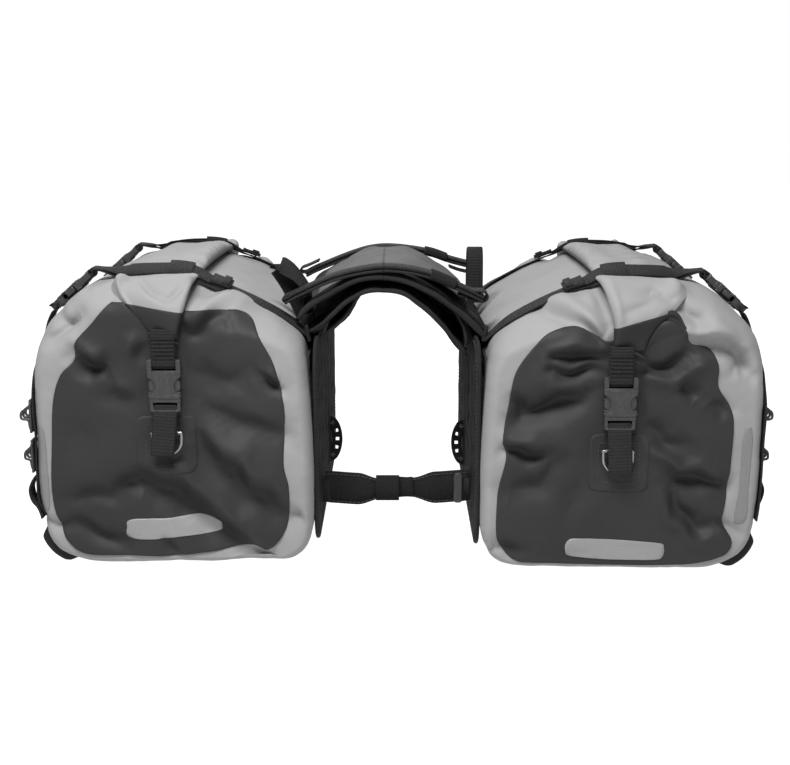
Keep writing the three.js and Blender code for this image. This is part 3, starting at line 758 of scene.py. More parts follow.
def wall_height(points, seed):
    """Unevenness of the walls, at points (u, y, z); the walls stay flat by the inner panel and the floor."""
    u, z = points[..., 0], points[..., 2]
    free = smoothstep(u, 0.098, 0.16) * smoothstep(z, 0.004, 0.05)
    long_waves = waves(points * np.array([1.0, 0.55, 1.0]), seed, 10, 0.05, 0.16)
    short_waves = waves(points, seed + 1, 10, 0.016, 0.045)
    under_roll = 1 - 0.6 * smoothstep(z, 0.285, 0.30)
    return free * under_roll * (0.0016 * long_waves + 0.0003 * short_waves)


def mark(nodes):
    if nodes:
        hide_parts(*nodes)


class Bag:
    """One bag: where it stands and how its surface runs."""

    def __init__(self, side):
        low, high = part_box(f"{side}_shell")
        self.side = side
        self.body = f"{side}_bag"
        self.sign = SIGN[side]
        self.middle = (low[1] + high[1]) / 2
        socket_low, socket_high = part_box(f"{side}_buckle_socket_front")
        self.mouth = socket_low[2] - 0.0004
        self.across = abs(socket_low[0] + socket_high[0]) / 2

    def look(self, end):
        return self.side if end == "front" else OTHER[self.side]

    def to_world(self, points, end="front"):
        """Turns (u, y, z) points drawn for the front half into world points."""
        points = np.asarray(points, dtype=float)
        out = points.copy()
        out[..., 0] = points[..., 0] * self.sign
        out[..., 1] = points[..., 1] * (1 if end == "front" else -1) + self.middle
        return out

    def flip(self, end):
        """Whether a surface drawn for the right-hand bag's front is mirrored here."""
        return (self.sign < 0) != (end == "rear")

    def surface(self, theta, reach, end, lift=0.0):
        """Points of the bag's front half, at an angle theta round CENTRE.

        reach runs 0-1 over the flat of the end, 1-2 round its edge and 2-3 along the wall to the middle.
        """
        theta, reach = np.broadcast_arrays(theta, reach)
        outer = SECTION_RADIUS(theta)
        flat = outer - edge_inset(theta)
        depth = edge_depth(theta)
        turn = np.clip(reach - 1, 0, 1) * math.pi / 2
        radius = np.where(reach < 1, flat * reach, flat + (outer - flat) * np.sin(turn))
        y = FACE_Y + depth * (1 - np.cos(turn))
        y = np.where(reach > 2, (FACE_Y + depth) * (3 - reach), y)
        u = CENTRE[0] + radius * np.cos(theta)
        z = CENTRE[1] + radius * np.sin(theta)
        outward = section_normal(theta)
        normal = np.stack([outward[..., 0] * np.sin(turn), -np.cos(turn), outward[..., 1] * np.sin(turn)], -1)
        face_weight = 1 - smoothstep(reach, 1.55, 2.25)
        height = np.zeros(theta.shape)
        near = reach < 2.3
        standing = end_height(np.stack([u, z], -1)[near], self.look(end), self.mouth, self.across)
        height[near] = standing * face_weight[near]
        place = np.stack([u, y * (1 if end == "front" else -1), z], -1)
        height = height + wall_height(place, 11 if self.side == "left" else 17) * (1 - face_weight)
        points = np.stack([u, y, z], -1) + normal * (height + lift)[..., None]
        points[..., 0] += flank_bulge(points)
        points[..., 2] = np.maximum(points[..., 2], FLOOR_GAP + (COVER_GAP if np.any(lift) else 0))
        points[..., 0] = np.maximum(points[..., 0], INNER_WALL)
        return points

    def reach_of(self, theta, radius):
        """The reach at which surface() comes to this distance from CENTRE."""
        outer = SECTION_RADIUS(theta)
        flat = outer - edge_inset(theta)
        turn = np.arcsin(np.clip((radius - flat) / (outer - flat), 0, 0.999))
        return np.where(radius < flat, radius / flat, 1 + turn / (math.pi / 2))

    def on_end(self, points, end, lift=0.0):
        """Points on the bag's end, given as (u, z)."""
        points = np.asarray(points, dtype=float)
        offset = points - CENTRE
        theta = np.arctan2(offset[..., 1], offset[..., 0])
        radius = np.hypot(offset[..., 0], offset[..., 1])
        return self.surface(theta, self.reach_of(theta, radius), end, lift)

    def own(self, obj, slot, *nodes):
        """Lets a piece move with the bag, and hides the nodes it stands for. slot is not used."""
        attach(obj, self.body)
        mark(nodes)

    def follow_socket(self, obj, end, slot, *nodes):
        """Bakes a piece of an ear into place, and hides the nodes it stands for. end and slot are not used.
        """
        mark(nodes)
        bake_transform(obj)


BAGS = {side: Bag(side) for side in SIDES}


def add_shell(bag):
    """The bag's whole skin: both ends and the walls between them, closed at the middle."""
    around = np.linspace(-math.pi, math.pi, 360, endpoint=False)
    reach = np.concatenate([
        np.linspace(0.004, 1, 66, endpoint=False),
        np.linspace(1, 2, 13, endpoint=False),
        np.linspace(2, 3, 22),
    ])
    theta, reach = np.meshgrid(around, reach)
    front = bag.to_world(bag.surface(theta, reach, "front"), "front")
    rear = bag.to_world(bag.surface(theta, reach, "rear"), "rear")
    blend = smoothstep(reach, 2.6, 3.0)[..., None]
    seam = (front[-1] + rear[-1]) / 2
    front = front + (seam - front[-1]) * blend
    rear = rear + (seam - rear[-1]) * blend
    rows = np.vstack([front, rear[::-1][1:]])
    obj = grid_mesh(f"{bag.side}_fabric_shell", rows, "shell", wrap=True, caps=True, flip=bag.sign < 0)
    bag.own(obj, "shell_fabric", f"{bag.side}_shell")


OVERLAY_EDGE = 0.0012           # how wide a patch's turned-down edge is


def overlay(name, bag, end, outline, material, lift, rings, around, centre=None):
    """A patch of thin material laid on the bag's end, inside an outline given as (u, z)."""
    outline = np.asarray(outline)
    centre = outline.mean(axis=0) if centre is None else np.asarray(centre)
    radius = polar_profile(outline, centre, 0.001)
    theta = np.linspace(-math.pi, math.pi, around, endpoint=False)
    reach = np.concatenate([np.linspace(0.01, 1, rings), [1.0, 1.0]])
    limit = radius(theta)
    spread = reach[:, None] * limit[None, :]
    spread[-2] = limit + OVERLAY_EDGE * 0.35
    spread[-1] = limit + OVERLAY_EDGE * 0.4
    lifts = np.full(spread.shape, lift)
    lifts[-3] = lift * 0.97
    lifts[-2] = lift * 0.6
    lifts[-1] = -COVER_GAP
    flat = centre + spread[..., None] * np.stack([np.cos(theta), np.sin(theta)], -1)[None]
    points = bag.to_world(bag.on_end(flat, end, lifts), end)
    return grid_mesh(name, points, material, wrap=True, flip=bag.flip(end))


STRIP = {
    "left": [(0.291, 0.042), (0.290, 0.031), (0.267, 0.028), (0.235, 0.031), (0.196, 0.033), (0.191, 0.039),
             (0.195, 0.046), (0.213, 0.052), (0.245, 0.051), (0.286, 0.051)],
    "right": [(0.1810, 0.0300), (0.1812, 0.0210), (0.1850, 0.0155), (0.2050, 0.0135), (0.2310, 0.0120),
              (0.2580, 0.0115), (0.2790, 0.0118), (0.2845, 0.0145), (0.2862, 0.0200), (0.2857, 0.0260),
              (0.2825, 0.0302), (0.2580, 0.0325), (0.2310, 0.0340), (0.2050, 0.0355), (0.1870, 0.0355)],
}
PATCH_SIZE = 0.062


def rounded_square(centre, size, radius, steps=5):
    half = size / 2
    return [(centre[0] + x, centre[1] + z) for x, z in rounded_loop(-half, half, -half, half, radius, steps)]


def dense(loop, step=0.003):
    """A closed outline of straight stretches with points added along them."""
    out = []
    for (a, b), (c, d) in zip(loop, loop[1:] + loop[:1]):
        count = max(1, int(math.hypot(c - a, d - b) / step))
        out.extend([(a + (c - a) * k / count, b + (d - b) * k / count) for k in range(count)])
    return out


def add_end_panel(bag, end):
    """The dark panel on a bag's end, its reflective strip, and the sewn patch under the D-ring's webbing."""
    look = bag.look(end)
    name = f"{bag.side}_{end}"
    panel = overlay(f"{name}_tarpaulin_panel", bag, end, PANEL[look], "tarpaulin", 0.0019,
                    rings=70, around=380, centre=CENTRE)
    bag.own(panel, "tarpaulin", f"{bag.side}_end_panel_{end}")
    strip = overlay(f"{name}_reflective_strip", bag, end, STRIP[look], "reflective", 0.0027,
                    rings=12, around=420)
    bag.own(strip, "shell_fabric")
    centre = (bag.across + 0.002, bag.mouth - 0.0535)
    patch = overlay(f"{name}_anchor_patch", bag, end, dense(rounded_square(centre, PATCH_SIZE, 0.008)),
                    "tarpaulin", 0.0026, rings=14, around=200)
    bag.own(patch, "tarpaulin")
    seam = np.array(dense(rounded_square(centre, 0.043, 0.003), 0.001))
    line = bag.to_world(bag.on_end(seam, end, 0.0027), end)
    closed = np.vstack([line, line[:1]])
    thread = stitches(f"{name}_patch_stitching", closed, (0, FACING[end], 0))
    bag.own(thread, "tarpaulin")


# ---- Roll closure and its folded ends -----------------------------------------------------------------

# Stations from the middle of the bag over its front edge and down its end: the station's place (y, z)
# on the bag, its tilt from level in degrees, its thickness, and the inner and outer edges (u).
ROLL_STATIONS = {
    "left": [
        (0.000, 0.3030, 0, 0.0175, 0.2160, 0.328), (-0.070, 0.3030, 0, 0.0170, 0.2150, 0.326),
        (-0.105, 0.3030, 0, 0.0140, 0.2150, 0.323), (-0.128, 0.3030, 1, 0.0100, 0.2150, 0.318),
        (-0.143, 0.3025, 4, 0.0075, 0.2150, 0.315), (-0.160, 0.3020, 9, 0.0085, 0.2150, 0.312),
        (-0.176, 0.3000, 20, 0.0120, 0.2150, 0.308), (-0.191, 0.2955, 38, 0.0140, 0.2160, 0.301),
        (-0.203, 0.2880, 60, 0.0140, 0.2180, 0.290), (-0.2105, 0.2780, 80, 0.0125, 0.2210, 0.276),
        (-0.2120, 0.2660, 88, 0.0110, 0.2250, 0.2655), (-0.2120, 0.2560, 92, 0.0095, 0.2280, 0.2590),
        (-0.2120, 0.2510, 94, 0.0070, 0.2290, 0.2580),
    ],
    "right": [
        (0.000, 0.3030, 0, 0.0175, 0.2160, 0.328), (-0.070, 0.3030, 0, 0.0170, 0.2150, 0.326),
        (-0.105, 0.3030, 0, 0.0140, 0.2150, 0.323), (-0.128, 0.3030, 1, 0.0100, 0.2140, 0.318),
        (-0.143, 0.3025, 4, 0.0075, 0.2135, 0.316), (-0.160, 0.3020, 9, 0.0085, 0.2130, 0.314),
        (-0.176, 0.3000, 20, 0.0120, 0.2130, 0.310), (-0.191, 0.2955, 38, 0.0140, 0.2145, 0.303),
        (-0.203, 0.2880, 60, 0.0140, 0.2170, 0.294), (-0.2105, 0.2770, 80, 0.0125, 0.2205, 0.283),
        (-0.2120, 0.2640, 88, 0.0110, 0.2230, 0.270), (-0.2120, 0.2500, 92, 0.0095, 0.2235, 0.2605),
        (-0.2120, 0.2410, 94, 0.0070, 0.2235, 0.2570),
    ],
}
ROLL_RINGS = 110                # rings from the middle of the bag to the ear's foot
EAR_RING = 60                   # the ring from which the ear's height only falls
EAR_COLUMNS = 26
LIPS_Y = -0.2125                # the ear's lips stand out from here
PLEAT_Y = -0.2105               # the open pleat lies no further in than this
# The roll's outline across its width: how far across (0 inner edge, 1 outer edge) and how high (0-1).
ROLL_OUTLINE = [
    (0.015, 0.30), (0.000, 0.52), (0.012, 0.78), (0.050, 0.95), (0.120, 1.00), (0.220, 0.99), (0.350, 0.95),
    (0.500, 0.86), (0.640, 0.72), (0.770, 0.54), (0.880, 0.34), (0.960, 0.14), (1.000, 0.00), (0.970, -0.10),
    (0.800, -0.12), (0.550, -0.12), (0.300, -0.10), (0.120, -0.06), (0.050, 0.08),
]
# Creases across the rolled end, as FOLDS.
ROLL_CREASES = {
    "left": [
        ([(290, 313), (277, 307.5), (264, 302), (250, 296.5), (234, 291)], -2.6, 4, 6),
        ([(238, 291), (230, 296), (219, 304)], -2.6, 4, 5),
        ([(289, 307), (270, 298), (245, 287)], 2.0, 7, 6),
        ([(292, 312), (287, 300), (279, 283), (270, 267)], 3.2, 4, 3),
    ],
    "right": [
        ([(232, 279), (247, 285), (271, 292.5), (286, 298)], -2.0, 6, 5),
        ([(256, 302), (270, 300.5), (280, 296)], -2.8, 5, 6),
        ([(219, 306), (224, 290), (228, 264)], 2.0, 5, 5),
        ([(232, 262), (250, 271), (275, 280)], 1.8, 5, 6),
    ],
}
DARK_FROM = {"left": (0.2780, 0.2865), "right": (0.2650, 0.2800)}    # height of the dark part's top edge


def roll_rings(look, count):
    """Rings of (u, y, z) points round the roll, from the middle of the bag to the foot of the ear."""
    stations = smooth_line(np.array(ROLL_STATIONS[look]) * [1, 1, 0.001, 1, 1, 1], 0.001)
    spots = np.linspace(0, len(stations) - 1, count)
    index = np.arange(len(stations))
    y, z, tilt, thick, inner, outer = (np.interp(spots, index, stations[:, k]) for k in range(6))
    tilt = np.radians(tilt * 1000)
    outline = smooth_line(ROLL_OUTLINE, 0.035, closed=True)
    across, high = outline[:, 0][None, :], outline[:, 1][None, :]
    u = inner[:, None] + (outer - inner)[:, None] * across
    lift = thick[:, None] * high
    corner, peak = {"left": (0.2925, 0.012), "right": (0.292, 0.008)}[look]
    near = np.exp(-((y[:, None] + 0.181) / 0.014) ** 2 - ((u - corner) / 0.011) ** 2)
    lift += peak * near * np.clip(high * 3, 0, 1)
    sag = 0.004 * (1 - smoothstep(tilt, 0.2, 1.1))[:, None] * smoothstep(u, 0.27, 0.335)
    rings = np.stack([
        u,
        y[:, None] - np.sin(tilt)[:, None] * lift,
        z[:, None] + np.cos(tilt)[:, None] * lift - sag,
    ], -1)
    top = np.clip(high, 0, 1)
    crumple = 0.0016 * waves(rings, 41, 9, 0.022, 0.06) * top
    inner_edge = smoothstep(-np.abs(across - 0.08), -0.16, 0)
    crumple += 0.0016 * top * waves(rings * np.array([1.0, 3.0, 1.0]), 42, 5, 0.05, 0.10) * inner_edge
    pinch = smoothstep(-np.abs(np.abs(rings[..., 1]) - STRAP_STATION), -0.03, -0.012)
    crumple = crumple * (1 - 0.8 * pinch)
    creases = fold_height(rings[..., [0, 2]], ROLL_CREASES[look])
    crumple += 1.6 * creases * np.clip(high * 3, 0, 1) * smoothstep(tilt, 0.05, 0.3)[:, None]
    rings[..., 1] -= np.sin(tilt)[:, None] * crumple
    rings[..., 2] += np.cos(tilt)[:, None] * crumple
    return rings, outline


def smooth_below(obj, degrees):
    """Smooth shading, except across edges that turn by more than this."""
    obj.data.polygons.foreach_set("use_smooth", [True] * len(obj.data.polygons))
    bpy.ops.object.select_all(action="DESELECT")
    obj.select_set(True)
    bpy.context.view_layer.objects.active = obj
    bpy.ops.object.shade_smooth_by_angle(angle=math.radians(degrees))


def add_roll(bag):
    """The rolled mouth in two halves, each ending in an ear, and the dark tarpaulin over the ears."""
    halves = []
    for end in ENDS:
        rings, outline = roll_rings(bag.look(end), ROLL_RINGS)
        halves.append(bag.to_world(rings, end))
        top = [k for k in range(len(outline)) if outline[k, 1] > 0.02]
        top.sort(key=lambda k: math.atan2(outline[k, 1] - 0.4, outline[k, 0] - 0.5), reverse=True)
        low, high = DARK_FROM[bag.look(end)]
        rows = []
        for k in top:
            column = rings[:, k]
            start = low + (high - low) * np.clip(outline[k, 0], 0, 1)
            index = np.arange(len(column))
            tail = index > EAR_RING
            first = np.interp(-start, -column[tail, 2], index[tail])
            spots = np.linspace(first, len(column) - 1, EAR_COLUMNS)
            rows.append(np.stack([np.interp(spots, index, column[:, j]) for j in range(3)], -1))
        rows = np.array(rows)
        normal = unit(np.cross(np.gradient(rows, axis=1), np.gradient(rows, axis=0)))
        normal *= np.where(normal[..., 1:2] > 0, -1.0, 1.0)
        cover = rows + normal * 0.0006
        cover[:, 0] -= normal[:, 0] * 0.0007
        dark = grid_mesh(f"{bag.side}_{end}_ear_tarpaulin", bag.to_world(cover, end), "tarpaulin",
                         flip=not bag.flip(end))
        bag.follow_socket(dark, end, "tarpaulin")
    nodes = [f"{bag.side}_roll_closure"]
    for end, rows in (("front", halves[0]), ("rear", halves[1][::-1])):
        obj = grid_mesh(f"{bag.side}_rolled_mouth_{end}", rows, "shell", wrap=True, caps=True,
                        flip=bag.sign > 0)
        smooth_below(obj, 60)
        bag.follow_socket(obj, end, "shell_fabric", *nodes)
        nodes = []


def add_ear_lips(bag, end):
    """The rolled edges of the ear's foot, folded over the webbing that comes out of it."""
    look = bag.look(end)
    _, foot, _, _, inner, outer = ROLL_STATIONS[look][-1]
    tilt = 0.004 if look == "left" else -0.010
    lips = []
    for drop, rise, out, radius in ((0.0005, 0.0085, 0.0085, 0.0017), (0.0065, 0.0030, 0.0065, 0.0014)):
        s = np.linspace(0, 1, 24)
        arch = np.sin(math.pi * s) ** 0.8
        points = np.stack([
            inner - 0.001 + (outer - inner + 0.002) * s,
            LIPS_Y - out * (0.35 + 0.65 * arch),
            foot - drop + rise * arch * 0.6 + tilt * s,
        ], -1)
        lips.append(tube("lip", bag.to_world(points, end), radius, "tarpaulin", sides=12))
    obj = join(f"{bag.side}_{end}_ear_lips", lips)
    bag.follow_socket(obj, end, "tarpaulin")


def add_pocket(bag, end):
    """The open pleat beside the ear of a bag that was rolled askew."""
    rim = smooth_line([(0.257, 0.2395), (0.262, 0.254), (0.269, 0.2665), (0.278, 0.2715), (0.288, 0.2680),
                       (0.296, 0.2585)], 0.002)
    top = smooth_line([(0.262, 0.2690), (0.266, 0.2765), (0.272, 0.2800), (0.281, 0.2815), (0.290, 0.2775),
                       (0.298, 0.2640)], 0.002)
    foot = smooth_line([(0.2565, 0.2360), (0.264, 0.2400), (0.272, 0.2430), (0.281, 0.2450), (0.289, 0.2470),
                        (0.299, 0.2540)], 0.002)
    count = 30
    lines = []
    for line in (foot, rim, top):
        fine = smooth_line(line, 0.0005)
        lines.append(fine[np.linspace(0, len(fine) - 1, count).astype(int)])
    spots = [0.0, 0.35, 0.75, 0.95, 1.02, 1.0, 1.2, 1.5, 1.8, 1.95, 2.08]
    heights = [0.0005, 0.0020, 0.0050, 0.0062, 0.0050, 0.0012, 0.0008, 0.0016, 0.0040, 0.0040, 0.0005]
    rows = []
    for spot, height in zip(spots, heights):
        k = min(int(spot), 1)
        flat = lines[k] + (lines[k + 1] - lines[k]) * (spot - k)
        edge = np.sin(math.pi * np.linspace(0.02, 0.98, count)) ** 0.5
        base = bag.on_end(flat, end)
        base[..., 1] = np.minimum(base[..., 1], PLEAT_Y) - height * edge
        rows.append(base)
    rows = smooth_line(np.array(rows).reshape(len(rows), -1), 0.02).reshape(-1, count, 3)
    obj = grid_mesh(f"{bag.side}_{end}_ear_pleat", bag.to_world(rows, end), "tarpaulin", flip=bag.flip(end))
    solid = obj.modifiers.new("thickness", "SOLIDIFY")
    solid.thickness = 0.0008
    bag.follow_socket(obj, end, "tarpaulin")


# ---- Buckles ------------------------------------------------------------------------------------------
# Drawn upright with the mouth at the origin: X across, -Y out of the bag, +Z from clip to socket.

NOTCH = [(16.2, 4.8), (13.0, 6.0), (10.6, 9.0), (9.7, 13.2), (10.6, 17.4), (13.2, 20.6), (16.4, 22.2)]
SOCKET_OUTLINE = [(15.4, 0.4), (16.6, 2.0), *NOTCH, (17.0, 27.0), (17.0, 28.4)]
SOCKET_TOP = 40.0
SOCKET_BAR = (34.4, 39.8)
CLIP_BAR = (-14.0, -10.0)
ARM = (13.2, 17.0)


def mirrored(loop):
    """A closed outline, in metres, from its right half in millimetres."""
    return [(x * MM, z * MM) for x, z in loop] + [(-x * MM, z * MM) for x, z in reversed(loop)]


def bar(name, z0, z1, half_width, half_depth):
    loop = rounded_loop(-half_width * MM, half_width * MM, z0 * MM, z1 * MM, 0.45 * MM)
    return plate(name, loop, 2 * half_depth * MM, 0.0008)


def shifted(obj, x=0.0, y=0.0, z=0.0):
    obj.data.transform(Matrix.Translation((x * MM, y * MM, z * MM)))
    return obj


def arms(z0, z1, inner, outer, depth):
    """An upright on each side, between two distances from the middle."""
    pieces = []
    for side in (-1, 1):
        x0, x1 = sorted((side * inner * MM, side * outer * MM))
        loop = rounded_loop(x0, x1, z0 * MM, z1 * MM, min(1.2 * MM, 0.4 * (x1 - x0)))
        pieces.append(plate("arm", loop, depth * MM, 0.0006))
    return pieces


def build_socket():
    """The socket: two shaped faces with the prongs' cut-outs, a block between them, and an upper frame."""
    front = plate("face", mirrored(SOCKET_OUTLINE), 1.8 * MM, 0.0007)
    back = plate("back", mirrored(SOCKET_OUTLINE), 1.8 * MM, 0.0007)
    crown_outline = [(7.4, 3.4), (8.4, 4.8), (6.6, 13), (7.4, 20), (12.4, 25.0), (11.6, 26.6)]
    crown = plate("crown", mirrored(crown_outline), 1.2 * MM, 0.0005)
    middle = plate("middle", mirrored([(14.6, 22.9), (16.6, 24.0), (16.8, 28.4)]), 8.4 * MM, 0.0006)
    rim = plate("rim", mirrored([(15.0, 0.2), (15.6, 1.4), (14.8, 3.0)]), 1.6 * MM, 0.0006)
    pieces = [shifted(front, y=-4.1), shifted(back, y=4.1), shifted(crown, y=-4.7), middle,
              shifted(rim, y=-4.6)]
    for side in (-1, 1):
        edge = smooth_line([(side * x * MM, -5.0 * MM, z * MM) for x, z in NOTCH], 0.0012)
        pieces.append(tube("notch_rim", edge, 0.00055, "plastic", sides=8))
        x0, x1 = sorted((side * 13.9 * MM, side * 16.4 * MM))
        pieces.append(plate("cheek", rounded_loop(x0, x1, 0.6 * MM, 5.8 * MM, 0.6 * MM), 7.6 * MM, 0.0006))
    pieces += arms(26.5, SOCKET_TOP, *ARM, 8.6)
    pieces.append(bar("bar", *SOCKET_BAR, 14.2, 2.2))
    pieces.append(shifted(bar("rib", 30.2, 31.0, 12.6, 1.2), y=3.0))
    return join("socket", pieces)


def build_clip():
    """The clip's frame: a flat collar at the mouth, two arms and two bars for the webbing."""
    collar_outline = [(14.6, -4.4), (15.6, -3.4), (15.4, -0.4), (14.8, 0.0)]
    collar = plate("collar", mirrored(collar_outline), 8.4 * MM, 0.0008)
    pieces = [collar, *arms(-14.4, -3.6, 13.2, 15.4, 7.4)]
    pieces.append(bar("bar", *CLIP_BAR, 14.0, 2.2))
    pieces.append(shifted(bar("lip", -14.9, -13.6, 13.4, 1.1), y=-2.9))
    pieces.append(bar("guide", -1.0, 20.0, 2.2, 2.2))
    return join("clip", pieces)


def build_prong(side, pad=15.3):
    """A squeeze prong: a springy blade with a ribbed grip, on the buckle's +X side or its -X side."""
    loop = [(7.5, 0.3), (10.8, 0.3), (11.4, 5.4), (13.6, 6.8), (pad, 9.0), (pad + 0.4, 13.2), (pad, 17.6),
            (13.6, 20.0), (10.6, 21.8), (8.2, 21.8), (7.5, 6.0)]
    loop = [(side * x * MM, z * MM) for x, z in loop]
    blade = plate("blade", loop, 6.6 * MM, 0.0012)
    x = side * (pad - 1.4)
    grips = [shifted(bar("grip", z, z + 0.7, 1.1, 3.0), x=x) for z in (11.2, 12.8, 14.4, 16.0)]
    return join("prong", [blade, *grips])


def settle(obj, name, matrix):
    """Puts a finished buckle piece in its place in the world."""
    obj.data.transform(matrix)
    obj.name = name
    smooth_below(obj, 35)
    return obj


def slot_centre(node):
    low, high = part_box(node)
    return (Vector(low) + Vector(high)) / 2


def buckle_frame(bag, end):
    """Places an end buckle: its mouth at the origin, its front facing out of the bag."""
    centre = slot_centre(f"{bag.side}_buckle_socket_{end}")
    turn = Matrix.Rotation(0 if end == "front" else math.pi, 4, "Z")
    return Matrix.Translation((centre.x, centre.y, bag.mouth)) @ turn


SLOPE = 0.73                    # how steeply the outer slope goes down, in radians
SLOPE_TOP = (0.330, 0.3045)     # where it begins, as (u, z)
MOUTH_DOWN = 0.018              # how far down the slope a compression buckle's mouth is
MOUTH_OUT = 0.006               # and how far it stands off
CLIP_BAR_SPOT = -0.0120         # the middles of the bars that hold the webbing, along the buckle
SOCKET_BAR_SPOT = 0.03625


def slope_frame(bag, end):
    """Places a compression buckle: its +Z points down the bag's outer slope."""
    low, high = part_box(f"{bag.side}_compression_socket_{end}")
    down = Vector((bag.sign * math.cos(SLOPE), 0, -math.sin(SLOPE)))
    outward = Vector((bag.sign * math.sin(SLOPE), 0, math.cos(SLOPE)))
    across = (-outward).cross(down)
    top = Vector((bag.sign * SLOPE_TOP[0], (low[1] + high[1]) / 2, SLOPE_TOP[1]))
    seat = top + down * MOUTH_DOWN + outward * MOUTH_OUT
    frame_matrix = Matrix((across, -outward, down)).transposed().to_4x4()
    return Matrix.Translation(seat) @ frame_matrix


def stand_for(obj, node):
    """A buckle piece that takes the place of one node and moves with it."""
    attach(obj, node)
    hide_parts(node)


def add_end_buckle(bag, end):
    side = bag.side
    place = buckle_frame(bag, end)
    socket = settle(build_socket(), f"{side}_{end}_buckle_socket_shell", place)
    stand_for(socket, f"{side}_buckle_socket_{end}")
    clip = settle(build_clip(), f"{side}_{end}_buckle_clip_frame", place)
    bag.own(clip, "buckle_plastic", f"{side}_buckle_clip_{end}")
    for kind in ("inner", "outer"):
        node = f"{side}_prong_{kind}_{end}"
        local = place.inverted() @ slot_centre(node)
        prong = settle(build_prong(1 if local.x > 0 else -1), f"{side}_{end}_{kind}_prong", place)
        stand_for(prong, node)


def add_compression_buckle(bag, end):
    side = bag.side
    place = slope_frame(bag, end)
    socket = settle(build_socket(), f"{side}_{end}_side_socket_shell", place)
    stand_for(socket, f"{side}_compression_socket_{end}")
    clip = join("clip", [build_clip(), build_prong(-1), build_prong(1)])
    clip = settle(clip, f"{side}_{end}_side_clip_frame", place)
    bag.own(clip, "buckle_plastic", f"{side}_compression_clip_{end}")


# ---- Webbing at the bag's ends ------------------------------------------------------------------------

def local_ribbon(name, place, line, width=WEB_WIDTH, lean=0.0):
    """Webbing along a line of (y, z) millimetre points in a buckle's own frame; lean slants it sideways."""
    path = smooth_line(np.array(line, dtype=float) * MM, 0.0012)
    points = np.stack([lean * (path[:, 1] - path[0, 1]), path[:, 0], path[:, 1]], -1)
    world = np.array([place @ Vector(p) for p in points])
    across = np.array(place.to_3x3() @ Vector((1, 0, 0)))
    return ribbon(name, world, across, width, WEB_THICKNESS)


def add_roll_strap(bag, end):
    """Webbing from the ear round the socket's bar, two layers thick."""
    side = bag.side
    place = buckle_frame(bag, end)
    _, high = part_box(f"{side}_roll_strap_{end}")
    top = (high[2] - bag.mouth) / MM + 3
    loop = [(-3.4, top), (-3.5, 52), (-3.4, 44), (-3.3, 39), (-2.4, 33.6), (0.0, 32.4), (2.4, 33.6),
            (3.3, 39), (3.4, 44), (3.4, 52), (3.2, top)]
    pieces = [local_ribbon("loop", place, loop)]
    y = -4.5 * MM
    for k in range(6):
        z = (42.5 + 4.1 * k) * MM
        if z > (top - 5) * MM:
            break
        line = [place @ Vector((x * MM, y + 0.1 * MM * math.sin(x), z)) for x in np.linspace(-11.8, 11.8, 16)]
        pieces.append(tube("rib", np.array(line), 0.00095, "webbing", sides=8))
    obj = join(f"{side}_{end}_roll_webbing", pieces)
    bag.own(obj, "webbing", f"{side}_roll_strap_{end}")
    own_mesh(obj)


def add_anchor_strap(bag, end):
    """Webbing from the clip's bar round the D-ring, with its end folded back beside it."""
    side = bag.side
    place = buckle_frame(bag, end)
    slant = 0.10 if bag.look(end) == "left" else 0.05
    loop = [(3.0, -38), (3.3, -30), (3.2, -20), (2.6, -9.4), (0.0, -7.9), (-2.6, -9.4), (-3.0, -16),
            (-3.0, -28), (-3.4, -38), (-2.6, -43.0), (0.0, -44.4), (2.4, -42.5), (3.4, -38)]
    pieces = [local_ribbon("loop", place, loop, width=0.0236)]
    tail = [(-3.6, -15.5), (-4.8, -20), (-5.2, -30), (-6.2, -42), (-7.6, -52), (-8.2, -58.5), (-6.6, -61.5),
            (-4.6, -59.0), (-4.4, -52)]
    pieces.append(local_ribbon("tail", place, tail, width=0.0252, lean=-slant * bag.sign * -FACING[end]))
    obj = join(f"{side}_{end}_anchor_webbing", pieces)
    bag.own(obj, "webbing", f"{side}_anchor_strap_{end}")


def add_d_ring(bag, end):
    """A bent-wire D-ring: straight at the top, bowed at the bottom."""
    node = f"{bag.side}_d_ring_{end}"
    low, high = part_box(node)
    centre = slot_centre(node)
    radius = 0.0019
    half = (high[0] - low[0]) / 2 - radius
    top, bottom = high[2] - radius, low[2] + radius
    bow = [(half * math.cos(a), bottom + half + half * math.sin(a))
           for a in np.linspace(math.pi, 2 * math.pi, 18)]
    loop = [(-half + 0.001, top), (half - 0.001, top), (half, top - 0.001), (half, bottom + half),
            *bow[::-1][1:], (-half, top - 0.001)]
    points = at_y(smooth_line(loop, 0.0012, closed=True) + [centre.x, 0], centre.y)
    obj = tube(f"{bag.side}_{end}_d_ring_wire", points, radius, "steel", closed=True, sides=14)
    bag.own(obj, "steel", node)


# ---- Compression straps and the straps down the bag's side ---------------------------------------------

# The compression strap's middle line on the bag, from the inner wall over the roll, as (u, z).
STRAP_LINE = [
    (0.0955, 0.2385), (0.103, 0.2455), (0.122, 0.2610), (0.153, 0.2785), (0.184, 0.2925), (0.204, 0.3000),
    (0.219, 0.3080), (0.238, 0.3115), (0.265, 0.3115), (0.290, 0.3092), (0.307, 0.3070),
]
# Down the outer wall the side strap lies on the rounded front edge: its heights, and the reach at each.
WALL_HEIGHTS = (0.236, 0.222, 0.200, 0.175, 0.140, 0.100, 0.070, 0.050)
WALL_REACH = (2.20, 2.13, 2.03, 1.92, 1.86, 1.85, 1.86, 1.88)
WALL_STATION = 0.190
HOOK_WALL = 0.3898              # the wall's distance that the hooks' outlines are drawn for
WIDTH_SCALE = np.array([1, 1, 1, 0.001, 0.001, 0.001])     # a direction counts little in a line's length


